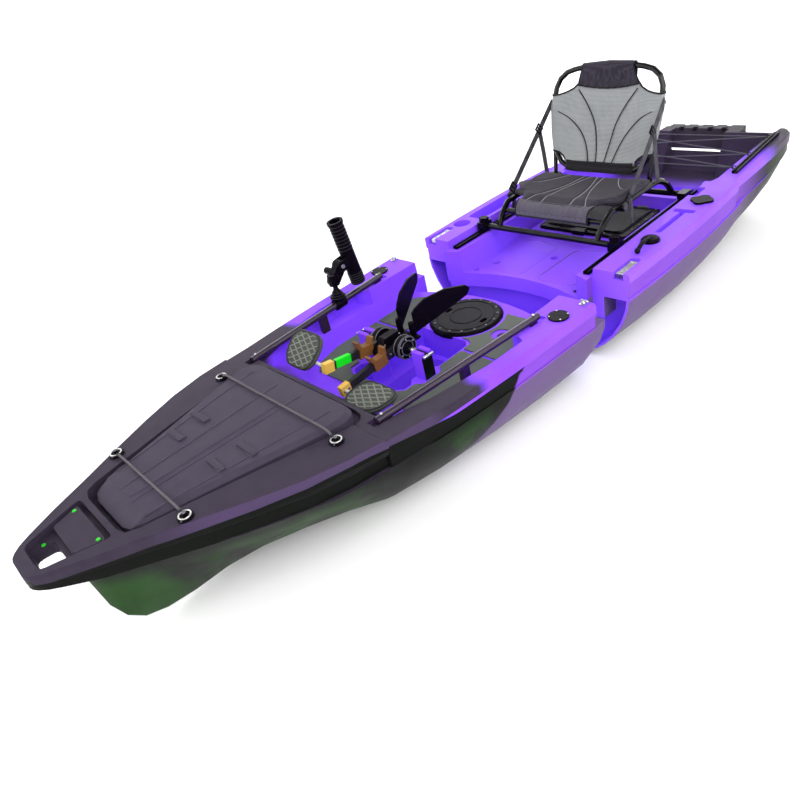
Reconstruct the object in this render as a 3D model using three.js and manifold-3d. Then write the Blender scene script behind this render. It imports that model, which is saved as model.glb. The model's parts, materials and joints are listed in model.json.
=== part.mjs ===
// Two-piece pedal kayak, in millimetres: x towards the bow, y to port, z up, origin under its middle
import * as THREE from 'three';
import { mergeVertices } from 'three/addons/utils/BufferGeometryUtils.js';
import Module from 'manifold-3d';

const wasm = await Module();
wasm.setup();

// Driving sizes of the two hull sections
const frontLength = 1475;
const rearLength = 1450;
const restGap = 180;
const halfBeam = 432;
const deckHeight = 330;
const bowRise = 28;
const cockpitLength = 711;
const rearCockpit = 744;
const overrun = 400;
const seatGap = 0.3;

// Shares of one size, turned into lengths
const scaled = (share, size) => (Array.isArray(share) ? share.map((each) => scaled(each, size)) : share * size);
const sized = (shares, size) =>
  Object.fromEntries(Object.entries(shares).map(([name, share]) => [name, scaled(share, size)]));

// Heights of floors, ledges and recesses, in shares of the deck height
const heightShares = {
  tongueTop: 0.4788, tongueShoulder: 0.7152, floorPlateInner: 0.4242, frontFloor: 0.6727, rearFloor: 0.6485,
  ledgeHeight: 0.8182, lidSeat: 0.9697, wellFloor: 0.3939, pivotZ: 0.9091, hatchSeat: 0.6424, bucketFloor: 0.2121,
  holdFloor: 0.4242, noseFloor: 1.0152, noseBlockTop: 1.0667, gunwaleLedge: 0.9091, beamTop: 0.8636,
  tankFloor: 0.5, platformTop: 0.7212, binFloor: 0.1879, rearBucketFloor: 0.2, trayFloor: 0.8667,
  cupFloor: 0.7939, teeFloor: 0.9091, sidePocketFloor: 0.7879, latchFloor: 0.9212, rudderBoreTop: 0.3576,
  carryZ: 0.9273, latchZ: 0.9636,
};
const {
  tongueTop, tongueShoulder, floorPlateInner, frontFloor, rearFloor, ledgeHeight, lidSeat, wellFloor, pivotZ,
  hatchSeat, bucketFloor, holdFloor, noseFloor, noseBlockTop, gunwaleLedge, beamTop, tankFloor, platformTop,
  binFloor, rearBucketFloor, trayFloor, cupFloor, teeFloor, sidePocketFloor, latchFloor, rudderBoreTop, carryZ,
  latchZ,
} = sized(heightShares, deckHeight);

// Places across the hull, in shares of the half beam
const acrossShares = {
  tongueShoulderInner: 0.787, arcHalfChord: 0.6944, lidFrontHalf: 0.2407, lidBackHalf: 0.5509,
  holdHalves: [0.2963, 0.1204], noseBackHalf: 0.2269, noseFrontHalf: 0.1204, cleatY: [0.4259, 0.6111],
  railY: [0.7639, 0.6458], matY: [0.4398, 0.6065, 0.6065, 0.5509, 0.463], frontInsertY: 0.8681,
  strikeY: 0.9167, binHalf: 0.3704, rectLidHalf: 0.4306, drainY: 0.4213, tankDrainY: 0.3935, lipDrainY: 0.5,
  trayY: [0.7407, 0.912], cupY: 0.8611, teeY: [0.7361, 0.8009, 0.8472, 0.9074], insertY: 0.8611,
  sidePocketY: [0.5926, 0.7685], latchY: [0.8611, 0.9398], sternBlockHalf: 0.3819, carryY: [0.412, 0.7361],
  sternBayHalf: 0.2824, toothPlaces: [-0.2222, -0.0787, 0.0787, 0.2222], seatTrackY: 0.6389,
  aftTrackY: [0.8472, 0.7778], lacingY: [0.743, 0.7685, 0.787], leverY: [0.8495, 0.8773],
};
const {
  tongueShoulderInner, arcHalfChord, lidFrontHalf, lidBackHalf, holdHalves, noseBackHalf, noseFrontHalf, cleatY,
  railY, matY, frontInsertY, strikeY, binHalf, rectLidHalf, drainY, tankDrainY, lipDrainY,
  trayY, cupY, teeY, insertY, sidePocketY, latchY, sternBlockHalf, carryY, sternBayHalf, toothPlaces, seatTrackY,
  aftTrackY, lacingY, leverY,
} = sized(acrossShares, halfBeam);

// Joint between the sections
const tongueReach = 65;
const skinWall = 8;
const socketClearance = 2;
const arcDepth = 70;
const arcMiddle = 40;

// Hull skin
const edgeRadius = 6;
const wallInset = 6;
const rubLine = 3;
const podStart = 34;
const podStep = 8;
const podBulge = 14;
const podHeight = 46;
const podLip = 9;

// Bow hatch
const bowNose = 197;
const lidStart = 15;
const lidFront = frontLength - bowNose;
const lidBack = cockpitLength + lidStart;
const podEnd = lidBack + podStart;
const lidThickness = 40;
const lidGap = 12;
const lidCorner = { across: 24, along: 36, radius: 34 };
const bevel = 2;
const play = 2;
const tuck = 1;

// Materials
const plastic = (color, roughness = 0.5) =>
  new THREE.MeshStandardMaterial({ color, roughness, metalness: 0 });
const metal = (color, roughness = 0.3) =>
  new THREE.MeshStandardMaterial({ color, roughness, metalness: 1 });
const hullPurple = plastic(0x6b35e0, 0.45);
const hullViolet = plastic(0x7f4af2, 0.45);
const bowCharcoal = plastic(0x4a4450, 0.6);
const blackPlastic = plastic(0x16161a, 0.4);
const foamGrey = plastic(0x6f756e, 0.9);
const railPurple = plastic(0x3b2a44, 0.25);
const steel = metal(0xc8c8c4, 0.25);
const brownClip = plastic(0x8a5a2b, 0.45);
const cordGrey = plastic(0x5b5a5e, 0.9);
const padGrey = plastic(0x8b8f8a, 0.7);
const meshGrey = plastic(0x5a5c5e, 0.9);
const fabricDark = plastic(0x2f2d33, 0.9);
const frameBlack = metal(0x1b1b1f, 0.4);

// Closed solids from three.js geometry
const weld = 0.001;
const corners = 3;
const cornerShare = 0.5;

function signedVolume(points, triangles) {
  let total = 0;
  for (let i = 0; i < triangles.length; i += corners) {
    const [a, b, c] = [0, 1, 2].map((k) => new THREE.Vector3().fromArray(points, triangles[i + k] * corners));
    total += a.dot(b.cross(c));
  }
  return total;
}

function solid(geometry) {
  geometry.deleteAttribute('normal');
  geometry.deleteAttribute('uv');
  const merged = mergeVertices(geometry, weld);
  const points = merged.attributes.position.array;
  const index = merged.index.array;
  const triangles = [];
  for (let i = 0; i < index.length; i += corners) {
    const [a, b, c] = [index[i], index[i + 1], index[i + 2]];
    if (a !== b && b !== c && c !== a) triangles.push(a, b, c);
  }
  if (signedVolume(points, triangles) < 0) triangles.reverse();
  return new wasm.Manifold(new wasm.Mesh({
    numProp: corners,
    vertProperties: new Float32Array(points),
    triVerts: new Uint32Array(triangles),
  }));
}

function geometryOf(manifold) {
  const mesh = manifold.getMesh();
  const geometry = new THREE.BufferGeometry();
  geometry.setAttribute('position', new THREE.BufferAttribute(mesh.vertProperties.slice(), corners));
  geometry.setIndex(new THREE.BufferAttribute(mesh.triVerts.slice(), 1));
  geometry.computeVertexNormals();
  return geometry;
}

function part(parent, name, body, material) {
  const mesh = new THREE.Mesh(geometryOf(body), material);
  mesh.name = name;
  parent.add(mesh);
  return mesh;
}

const join = (bodies) => bodies.reduce((whole, body) => whole.add(body));
const cut = (body, tools) => tools.reduce((whole, tool) => whole.subtract(tool), body);

function moved(body, x, y, z) {
  return body.translate([x, y, z]);
}

// Rings of equal count joined into one closed skin
function loft(rings) {
  const count = rings[0].length;
  const points = rings.flat();
  const triangles = [];
  for (let ring = 0; ring + 1 < rings.length; ring += 1) {
    for (let k = 0; k < count; k += 1) {
      const [a, b] = [ring * count + k, ring * count + ((k + 1) % count)];
      triangles.push(a, b, b + count, a, b + count, a + count);
    }
  }
  for (const end of [0, rings.length - 1]) {
    const middle = new THREE.Vector3();
    rings[end].forEach((point) => middle.add(point));
    points.push(middle.divideScalar(count));
    for (let k = 0; k < count; k += 1) {
      const [a, b] = [end * count + k, end * count + ((k + 1) % count)];
      triangles.push(...(end === 0 ? [b, a] : [a, b]), points.length - 1);
    }
  }
  const geometry = new THREE.BufferGeometry().setFromPoints(points);
  geometry.setIndex(triangles);
  return solid(geometry);
}

const at = (x, y, z) => new THREE.Vector3(x, y, z);
const level = (outline, z) => outline.map(([x, y]) => at(x, y, z));

// Upright body between a lower and an upper outline of equal count
const tapered = (lower, bottom, upper, top) => loft([level(lower, bottom), level(upper, top)]);

// Upright body of any plan outline
function prism(outline, bottom, top) {
  const distinct = outline.filter(([x, y], k) => {
    const [lastX, lastY] = outline[(k + outline.length - 1) % outline.length];
    return Math.hypot(x - lastX, y - lastY) > weld;
  });
  const shape = new THREE.Shape(distinct.map(([x, y]) => new THREE.Vector2(x, y)));
  const geometry = new THREE.ExtrudeGeometry(shape, { depth: top - bottom, bevelEnabled: false });
  return moved(solid(geometry), 0, 0, bottom);
}

// Body with a side outline in x and z, spread about a y
function sidePrism(outline, y, thickness) {
  const flat = outline.map(([x, z]) => [x, z]);
  const body = prism(flat, -thickness / 2, thickness / 2);
  return body.rotate([90, 0, 0]).translate([0, y, 0]);
}

function block(x0, x1, y0, y1, z0, z1) {
  const geometry = new THREE.BoxGeometry(x1 - x0, y1 - y0, z1 - z0);
  return moved(solid(geometry), (x0 + x1) / 2, (y0 + y1) / 2, (z0 + z1) / 2);
}

// Round bar between two points
function bar(from, to, radius, sides = 12) {
  const along = new THREE.Vector3().subVectors(to, from);
  const geometry = new THREE.CylinderGeometry(radius, radius, along.length(), sides);
  const turn = new THREE.Quaternion().setFromUnitVectors(at(0, 1, 0), along.clone().normalize());
  geometry.applyQuaternion(turn);
  geometry.translate(...from.clone().add(to).divideScalar(2).toArray());
  return solid(geometry);
}

const disc = (x, y, z0, z1, radius, sides = 24) => bar(at(x, y, z0), at(x, y, z1), radius, sides);

// Turned body about an upright axis from [radius, z] pairs
function turned(profile, sides = 20) {
  const geometry = new THREE.LatheGeometry(profile.map(([r, z]) => new THREE.Vector2(r, z)), sides);
  return solid(geometry).rotate([90, 0, 0]);
}

// Bent round tube through points
function pipe(points, radius, sides = 8, steps = 24, tension = 0.3) {
  const path = new THREE.CatmullRomCurve3(points, false, 'catmullrom', tension);
  const ring = new THREE.Shape();
  for (let k = 0; k < sides; k += 1) {
    const turn = (2 * Math.PI * k) / sides;
    ring[k === 0 ? 'moveTo' : 'lineTo'](radius * Math.cos(turn), radius * Math.sin(turn));
  }
  return solid(new THREE.ExtrudeGeometry(ring, { steps, extrudePath: path, bevelEnabled: false }));
}

// Round tube along a closed path
function closedPipe(path, radius, sides, steps) {
  const frames = path.computeFrenetFrames(steps, true);
  const points = [];
  const triangles = [];
  for (let k = 0; k < steps; k += 1) {
    const middle = path.getPointAt(k / steps);
    for (let i = 0; i < sides; i += 1) {
      const turn = (2 * Math.PI * i) / sides;
      points.push(middle.clone().addScaledVector(frames.normals[k], radius * Math.cos(turn))
        .addScaledVector(frames.binormals[k], radius * Math.sin(turn)));
      const [a, b] = [k * sides + i, k * sides + ((i + 1) % sides)];
      const [c, d] = [((k + 1) % steps) * sides + i, ((k + 1) % steps) * sides + ((i + 1) % sides)];
      triangles.push(a, b, d, a, d, c);
    }
  }
  const geometry = new THREE.BufferGeometry().setFromPoints(points);
  geometry.setIndex(triangles);
  return solid(geometry);
}

// Plan outline with rounded corners: four-sided, symmetric about x
function taperPlate(back, front, backHalf, frontHalf, radius, steps = 3) {
  const posts = [[back, -backHalf], [front, -frontHalf], [front, frontHalf], [back, backHalf]];
  return rounded(posts, radius, steps);
}

const plate = (x0, x1, y0, y1, radius, steps = 3) =>
  rounded([[x0, y0], [x1, y0], [x1, y1], [x0, y1]], radius, steps);

function rounded(posts, radius, steps) {
  const outline = [];
  posts.forEach(([x, y], k) => {
    const before = posts[(k + posts.length - 1) % posts.length];
    const after = posts[(k + 1) % posts.length];
    const pull = ([ax, ay]) => {
      const reach = Math.hypot(ax - x, ay - y);
      const share = Math.min(radius / reach, cornerShare);
      return [x + (ax - x) * share, y + (ay - y) * share];
    };
    const [start, end] = [pull(before), pull(after)];
    for (let i = 0; i <= steps; i += 1) {
      const t = i / steps;
      const [p, q, r] = [(1 - t) * (1 - t), 2 * t * (1 - t), t * t];
      outline.push([p * start[0] + q * x + r * end[0], p * start[1] + q * y + r * end[1]]);
    }
  });
  return outline;
}

// Smooth reading of a table whose first column is the place along the hull
function follow(shares, place, column) {
  const last = shares.length - 1;
  if (place <= shares[0][0]) return shares[0][column];
  if (place >= shares[last][0]) return shares[last][column];
  let i = 0;
  while (shares[i + 1][0] < place) i += 1;
  const slope = (j, k) => (shares[k][column] - shares[j][column]) / (shares[k][0] - shares[j][0]);
  const [span, rise] = [shares[i + 1][0] - shares[i][0], slope(i, i + 1)];
  const ease = (other) => (other * rise > 0 ? (2 * other * rise) / (other + rise) : 0);
  const startSlope = i === 0 ? rise : ease(slope(i - 1, i));
  const endSlope = i + 1 === last ? rise : ease(slope(i + 1, i + 2));
  const t = (place - shares[i][0]) / span;
  const [a, b] = [shares[i][column], shares[i + 1][column]];
  const bend = t * (1 - t) * ((1 - t) * (startSlope - rise) - t * (endSlope - rise)) * span;
  return a + (b - a) * t + bend;
}

// Front deck: place, half width, top and wall line, in shares of length, half beam and deck height
const frontDeckShares = [
  [0, 0.988, 0.994, 0.736], [0.1085, 0.97, 0.996, 0.742], [0.237, 0.949, 1, 0.748],
  [0.384, 0.903, 1.006, 0.758], [0.487, 0.852, 1.018, 0.77], [0.542, 0.826, 1.036, 0.776],
  [0.624, 0.762, 1.05, 0.788], [0.678, 0.688, 1.06, 0.8], [0.746, 0.583, 1.068, 0.815],
  [0.814, 0.463, 1.075, 0.836], [0.881, 0.345, 1.08, 0.864], [0.932, 0.264, 1.082, 0.895],
  [0.966, 0.2, 1.082, 0.93], [0.983, 0.164, 1.081, 0.945], [0.993, 0.132, 1.079, 0.953],
  [0.998, 0.108, 1.075, 0.958], [1, 0.085, 1.07, 0.962],
];
const frontDeckStationShares = [
  0, 0.11, 0.24, 0.38, 0.46, 0.514, 0.5167, 0.58, 0.65, 0.72, 0.79, 0.86, 0.92, 0.966, 0.983, 0.993, 0.998, 1,
];

// Front bottom: place, share of wall half width, keel height, flat half width and roundness
const frontBottomShares = [
  [0, 1, 0, 0.47, 1.75], [0.1085, 1, 0, 0.465, 1.7], [0.237, 1, 0, 0.44, 1.6],
  [0.384, 1, 0, 0.39, 1.5], [0.487, 1, 0, 0.32, 1.42], [0.542, 1, 0, 0.2, 1.28],
  [0.624, 0.99, 0.008, 0.1, 1.16], [0.678, 0.985, 0.015, 0.05, 1.1], [0.746, 0.98, 0.03, 0.024, 1.05],
  [0.814, 0.95, 0.036, 0.018, 1.02], [0.881, 0.82, 0.09, 0.014, 1.02], [0.912, 0.55, 0.2, 0.01, 1.05],
  [0.929, 0.32, 0.38, 0.008, 1.1], [0.9363, 0.14, 0.68, 0.006, 1.2],
];
const frontBottomStationShares = [
  0, 0.11, 0.24, 0.38, 0.48, 0.55, 0.62, 0.69, 0.75, 0.81, 0.86, 0.895, 0.917, 0.93, 0.9363,
];

// Rear deck and bottom, with places counted aft from the joint
const rearDeckShares = [
  [0, 0.988, 0.994, 0.736], [0.14, 1, 0.996, 0.72], [0.28, 0.998, 1.002, 0.705],
  [0.41, 0.984, 1.008, 0.695], [0.538, 0.958, 1.012, 0.7], [0.5401, 0.9275, 1.012, 0.7],
  [0.575, 0.922, 1.012, 0.702], [0.674, 0.921, 1.012, 0.71], [0.8, 0.908, 1.012, 0.73],
  [0.892, 0.888, 1.012, 0.755], [0.945, 0.86, 1.012, 0.775], [0.965, 0.82, 1.01, 0.785],
  [0.972, 0.79, 1.01, 0.788], [1, 0.79, 1.006, 0.8],
];
const rearDeckStationShares = [0, 0.14, 0.28, 0.41, 0.538, 0.5401, 0.67, 0.8, 0.892, 0.945, 0.965, 0.972, 1];
const rearBottomShares = [
  [0, 1, 0, 0.47, 1.75], [0.14, 1, 0, 0.5, 1.85], [0.28, 1, 0, 0.51, 1.9], [0.41, 1, 0, 0.5, 1.85],
  [0.52, 1, 0.01, 0.49, 1.8], [0.62, 1, 0.06, 0.48, 1.8], [0.72, 1, 0.12, 0.47, 1.75],
  [0.83, 0.99, 0.19, 0.46, 1.7], [0.928, 0.965, 0.3, 0.42, 1.7],
];
const rearBottomStationShares = [0, 0.14, 0.28, 0.41, 0.53, 0.62, 0.72, 0.83, 0.9, 0.928];
const curveSteps = 7;

// Half outline mirrored into a whole ring
function mirrored(x, half) {
  const port = half.map(([y, z]) => at(x, y, z));
  const starboard = half.map(([y, z]) => at(x, -y, z)).reverse();
  return [...port, ...starboard];
}

// Deck slab between the gunwale and the wall line
function deckRing(shares, length, heading, place) {
  const x = heading * place * length;
  const half = follow(shares, place, 1) * halfBeam;
  const podded = heading > 0 && x > podEnd;
  const fade = podded ? (frontLength - x) / (frontLength - podEnd) : 0;
  const top = follow(shares, place, 2) * deckHeight - (heading > 0 && !podded ? podStep / 2 : 0);
  const line = follow(shares, place, 3) * deckHeight;
  const lip = Math.min(podHeight, (top - line) / 2);
  const bulge = podBulge * fade;
  const inset = Math.min(wallInset + podLip * fade, half / 2);
  return mirrored(x, [
    [half - edgeRadius, top], [half, top - edgeRadius],
    [half + bulge / 2, top - lip / 2], [half - bulge / corners, top - lip],
    [half - inset, top - lip - rubLine], [half - inset, line],
  ]);
}

function deckBody(shares, stations, length, heading) {
  return loft(stations.map((place) => deckRing(shares, length, heading, place)));
}

// Hull bottom between the wall line and the keel
function bottomRing(deckShares, shares, length, heading, place, inset) {
  const x = heading * place * length;
  const line = follow(deckShares, place, 3) * deckHeight + rubLine;
  const wall = follow(deckShares, place, 1) * halfBeam - wallInset + rubLine;
  const half = wall * follow(shares, place, 1) - inset;
  const keel = follow(shares, place, 2) * deckHeight + inset;
  const flat = Math.min(follow(shares, place, corners) * halfBeam, half / 2);
  const power = 2 / follow(shares, place, corners + 1);
  const curve = [];
  for (let k = 0; k <= curveSteps; k += 1) {
    const turn = (Math.PI / 2) * (k / curveSteps);
    const [c, s] = [Math.cos(turn), Math.sin(turn)].map((value) => Math.abs(value) ** power);
    curve.push([flat + (half - flat) * c, line - (line - keel) * (k === curveSteps ? 1 : s)]);
  }
  return mirrored(x, curve);
}

function bottomBody(deckShares, shares, stations, length, heading, inset = 0) {
  return loft(stations.map((place) => bottomRing(deckShares, shares, length, heading, place, inset)));
}

// Hull bottom at the joint, drawn in by a wall and run straight
function jointPlug(inset, from, to) {
  const ring = bottomRing(frontDeckShares, frontBottomShares, frontLength, 1, 0, inset);
  return loft([from, to].map((x) => ring.map((point) => at(x, point.y, point.z))));
}

// Curved edge where the two floors meet
const arcSteps = 8;
function floorArc(reach) {
  const arc = [];
  for (let k = 0; k <= arcSteps; k += 1) {
    const y = arcHalfChord * ((2 * k) / arcSteps - 1);
    arc.push([arcDepth * (y / arcHalfChord) ** 2 - arcMiddle, y]);
  }
  return [[reach, arcHalfChord], [reach, -arcHalfChord], ...arc];
}

// Space that the tongue fills, or that the socket leaves for it
function tongueSpace(reach, clearance) {
  const top = tongueTop + clearance;
  const shoulder = tongueShoulder + clearance;
  const inner = tongueShoulderInner - clearance;
  return join([
    block(-reach, overrun, -overrun - halfBeam, overrun + halfBeam, -overrun, top),
    block(-reach, overrun, inner, overrun + halfBeam, 0, shoulder),
    block(-reach, overrun, -overrun - halfBeam, -inner, 0, shoulder),
  ]);
}

// Cockpit of the front section, in shares of its length and the half beam
const cockpitFloorShares = [[-0.6224, 0.676], [0.3216, 0.676], [0.6618, 0.657], [0.8008, 0.551], [0.8713, 0.44]];
const cockpitShelfShares = [[-0.6224, 0.694], [0.3133, 0.694], [0.6618, 0.676], [0.8402, 0.607], [0.9128, 0.5]];
const cockpitLedgeShares = [
  [-0.6224, 0.694], [0.3133, 0.694], [0.3527, 0.815], [0.5622, 0.81], [0.8153, 0.736], [0.9273, 0.671],
  [0.9605, 0.607],
];
const cockpitRimShares = [
  [-0.6224, 0.704], [0.3174, 0.704], [0.361, 0.852], [0.5622, 0.829], [0.8153, 0.755], [0.9481, 0.694],
  [1, 0.625],
];

// Port side of a plan from aft to forward, mirrored to starboard
function planOf(shares, length, half) {
  const port = shares.map(([x, y]) => [x * length, y * half]);
  return [...port.map(([x, y]) => [x, -y]), ...port.reverse()];
}

// Drive well, its slot through the bottom and the towers that carry the cross pin
const pivotX = 405;
const wellX = [206, 350, 368, 442, 460, 505];
const wellLobeHalf = 116;
const wellWaistHalf = 94;
const wellCorner = 20;
const wellEnd = { inset: 6, nose: 18, noseInset: 8 };
const slotBack = 224;
const slotFront = 488;
const slotHalf = 66;
const towerInner = 98;
const towerOuter = 138;
const towerHalf = 20;
const towerRise = 9;
const towerTop = pivotZ + towerRise;
const hatchRim = 6;
const pinRadius = 6;
const pinClearance = 0.4;

// Round hatch in the front floor
const hatchX = 92;
const hatchRadius = 120;
const bucketRadius = 96;
const cupRim = { x: 129, out: 62, radius: 20, depth: 16 };

// Side rails over the front cockpit
const railEnd = 6;
const railStart = 141;
const railFront = [cockpitLength + railEnd, railY[1]];
const railBack = [railStart, railY[0]];
const railRadius = 11;
const railLift = 4;
const railZ = deckHeight + railLift;
const railSlotHalf = 15;
const railSlotShares = [-0.03, 1.03];
const railSink = 5;
const railFootHalf = 7;
const railFootShares = [0.04, 0.5, 0.95];

// Bow hold, nose recess and carry hole
const holdInset = { back: 64, front: 98, side: 8, frontSide: 20, rise: 10 };
const holdBack = lidBack + holdInset.back;
const holdFront = lidFront - holdInset.front;
const holdWall = 34;
const noseInset = { back: 26, front: 29, block: 66, hole: 54 };
const noseBack = lidFront + noseInset.back;
const noseFront = frontLength - noseInset.front;
const noseBlockFront = noseFront - noseInset.block;
const noseBlockGap = 12;
const noseHoleBack = noseFront - noseInset.hole;
const noseRadius = 16;
const noseLip = 4;

// Lid outline grown by a gap
function lidPlan(grow) {
  const back = lidBack - grow;
  const [wide, narrow] = [lidBackHalf + grow, lidFrontHalf + grow];
  const posts = [
    [back, lidCorner.across - wide], [back + lidCorner.along, -wide], [lidFront + grow, -narrow],
    [lidFront + grow, narrow], [back + lidCorner.along, wide], [back, wide - lidCorner.across],
  ];
  return rounded(posts, lidCorner.radius, 2);
}

function railLine(share, z) {
  const [dx, dy] = [railFront[0] - railBack[0], railFront[1] - railBack[1]];
  return at(railBack[0] + dx * share, railBack[1] + dy * share, z);
}

function frontHull() {
  const shell = join([
    deckBody(frontDeckShares, frontDeckStationShares, frontLength, 1),
    bottomBody(frontDeckShares, frontBottomShares, frontBottomStationShares, frontLength, 1),
    jointPlug(skinWall + socketClearance, -tongueReach, tongueReach).intersect(tongueSpace(tongueReach, 0)),
    prism(floorArc(wellX[0]), floorPlateInner, tongueShoulder),
  ]);
  const top = deckHeight + bowRise + overrun;
  const cockpit = [
    tapered(planOf(cockpitFloorShares, cockpitLength, halfBeam), frontFloor,
      planOf(cockpitShelfShares, cockpitLength, halfBeam), ledgeHeight),
    tapered(planOf(cockpitLedgeShares, cockpitLength, halfBeam), ledgeHeight - seatGap,
      planOf(cockpitRimShares, cockpitLength, halfBeam), deckHeight + bowRise),
  ];
  const arcCut = prism(floorArc(-overrun), tongueTop, top);
  const [w0, w1, w2, w3, w4, w5] = wellX;
  const wellPlan = planOf([
    [w0, wellLobeHalf - wellCorner], [w0 + wellCorner, wellLobeHalf], [w1, wellLobeHalf], [w2, wellWaistHalf],
    [w3, wellWaistHalf], [w4, wellLobeHalf - wellEnd.inset], [w5 - wellEnd.nose, wellLobeHalf - wellEnd.inset],
    [w5, wellWaistHalf - wellEnd.noseInset],
  ], 1, 1);
  const well = prism(wellPlan, wellFloor, top);
  const slot = prism(plate(slotBack, slotFront, -slotHalf, slotHalf, slotHalf, 4), -overrun, top);
  const towers = [-1, 1].map((side) => cut(
    block(pivotX - towerHalf, pivotX + towerHalf, side > 0 ? towerInner : -towerOuter,
      side > 0 ? towerOuter : -towerInner, frontFloor - hatchRim, towerTop),
    [
      bar(at(pivotX, -overrun, pivotZ), at(pivotX, overrun, pivotZ), pinRadius + pinClearance, 16),
      block(pivotX - pinRadius - pinClearance, pivotX + pinRadius + pinClearance, -overrun, overrun, pivotZ, top),
    ],
  ));
  const railSlots = [-1, 1].map((side) => {
    const [back, front] = railSlotShares.map((share) => railLine(share, 0));
    const shape = [
      [back.x, side * (back.y - railSlotHalf)], [front.x, side * (front.y - railSlotHalf)],
      [front.x, side * (front.y + railSlotHalf)], [back.x, side * (back.y + railSlotHalf)],
    ];
    return tapered(shape, railZ - railRadius - railSink, shape, top);
  });
  const nose = cut(
    prism(taperPlate(noseBack, noseFront, noseBackHalf, noseFrontHalf, noseRadius), noseFloor, top),
    [prism(taperPlate(noseBack + noseBlockGap, noseBlockFront, noseBackHalf - noseBlockGap,
      noseFrontHalf + noseBlockGap, noseRadius / 2), -overrun, noseBlockTop)],
  );
  const noseHole = prism(taperPlate(noseHoleBack, noseFront - noseLip, noseFrontHalf - play,
    noseFrontHalf - noseBlockGap, noseRadius), -overrun, top);
  const hold = tapered(
    taperPlate(holdBack + holdWall, holdFront - holdWall, ...holdHalves, holdWall), holdFloor,
    taperPlate(holdBack, holdFront, lidBackHalf - holdWall - holdInset.side, lidFrontHalf + holdInset.frontSide,
      holdWall), lidSeat + holdInset.rise,
  );
  return cut(shell, [
    ...cockpit, arcCut, prism(lidPlan(lidGap), lidSeat, top), hold, nose, noseHole,
    disc(hatchX, 0, hatchSeat, top, hatchRadius + play, 28), disc(hatchX, 0, bucketFloor, top, bucketRadius, 24),
    well, slot, ...railSlots,
    ...[-1, 1].map((side) => disc(frontInsert.x, side * frontInsertY, deckHeight - frontInsert.hole, top,
      frontInsert.bore, 16)),
    ...[-1, 1].map((side) => disc(cupRim.x, side * (hatchRadius + cupRim.out), frontFloor - cupRim.depth, top,
      cupRim.radius, 14)),
  ]).add(join(towers));
}

// Height of a deck along its section, and the seat that clears it between two places
function frontDeckTop(x) {
  const step = x > podEnd ? 0 : podStep / 2;
  return follow(frontDeckShares, x / frontLength, 2) * deckHeight - step;
}
const rearDeckTop = (x) => follow(rearDeckShares, -x / rearLength, 2) * deckHeight;
const seatOn = (deckTop, x0, x1) => Math.max(deckTop(x0), deckTop(x1), deckTop((x0 + x1) / 2)) + seatGap;
const sides = [['port', 1], ['starboard', -1]];

// Rear cockpit in shares of its length, counted aft, and the half beam
const footwellShares = [[-0.1364, 0.56], [0.8575, 0.56], [0.9238, 0.53]];
const footwellTopShares = [[-0.1364, 0.575], [0.8673, 0.575], [0.9316, 0.54]];
const gunwaleShares = [[-0.1364, 0.699], [0.9745, 0.699], [0.992, 0.68]];
const gunwaleTopShares = [[-0.1364, 0.706], [0.9803, 0.706], [1, 0.69]];
const platformShares = [[0.4736, 0.505], [0.9472, 0.505]];
const platformTopShares = [[0.5126, 0.49], [0.9472, 0.49]];
const beamFront = 689;
const beamOver = 28;
const beamBack = rearCockpit + beamOver;
const binBack = 648;
const binFront = 404;
const drainRadius = 14;
const drainX = { middle: 221, side: 110 };
const drainPlaces = [[drainX.middle, 0], [drainX.side, drainY], [drainX.side, -drainY]];
const lipDrainX = 34;

// Tank well between the cockpit and the stern, in shares of its length and the half beam
const tankInset = { front: 20, back: 113 };
const tankFront = rearCockpit + tankInset.front;
const tankLength = rearLength - tankInset.back - tankFront;
const tankFloorShares = [[0.0661, 0.68], [0.1091, 0.7], [0.8176, 0.655], [0.8455, 0.63]];
const tankRimShares = [[0, 0.74], [0.0711, 0.765], [0.9644, 0.722], [1, 0.69]];
const tankShares = { hatch: 0.4555, drain: 0.0768, lacing: [0.8918, 0.5166, 0.2461], track: [0.1606, 0.9808] };
const tankPlaces = sized(tankShares, tankLength);
const tankDrainX = tankFront + tankPlaces.drain;
const tankDrainPlaces = [[tankDrainX, tankDrainY], [tankDrainX, -tankDrainY]];
const rearHatchX = tankFront + tankPlaces.hatch;
const rearHatchRadius = 70;
const rearBucketRadius = 54;

// Pockets of the rear deck
const trayX = [219, 520];
const cupX = 157;
const cupRadius = 34;
const teeX = [302, 474, 500];
const insertX = 583;
const insertBore = 24;
const insertDepth = 34;
const sidePocketX = [622, 702];
const latchBack = 112;

// Stern block, carry openings and rudder bore
const sternInset = { side: 38, carry: 104, bay: 62, bayFront: 250, rudder: 154, bar: 54 };
const sternSide = rearLength - sternInset.side;
const carryX = rearLength - sternInset.carry;
const toothHalf = 12;
const toothDepth = 14;
const sternBay = rearLength - sternInset.bay;
const tankBayFront = rearLength - sternInset.bayFront;
const baySlotDepth = 20;
const baySlope = 80;
const rudderX = rearLength - sternInset.rudder;
const rudderBore = 7.4;

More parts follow.
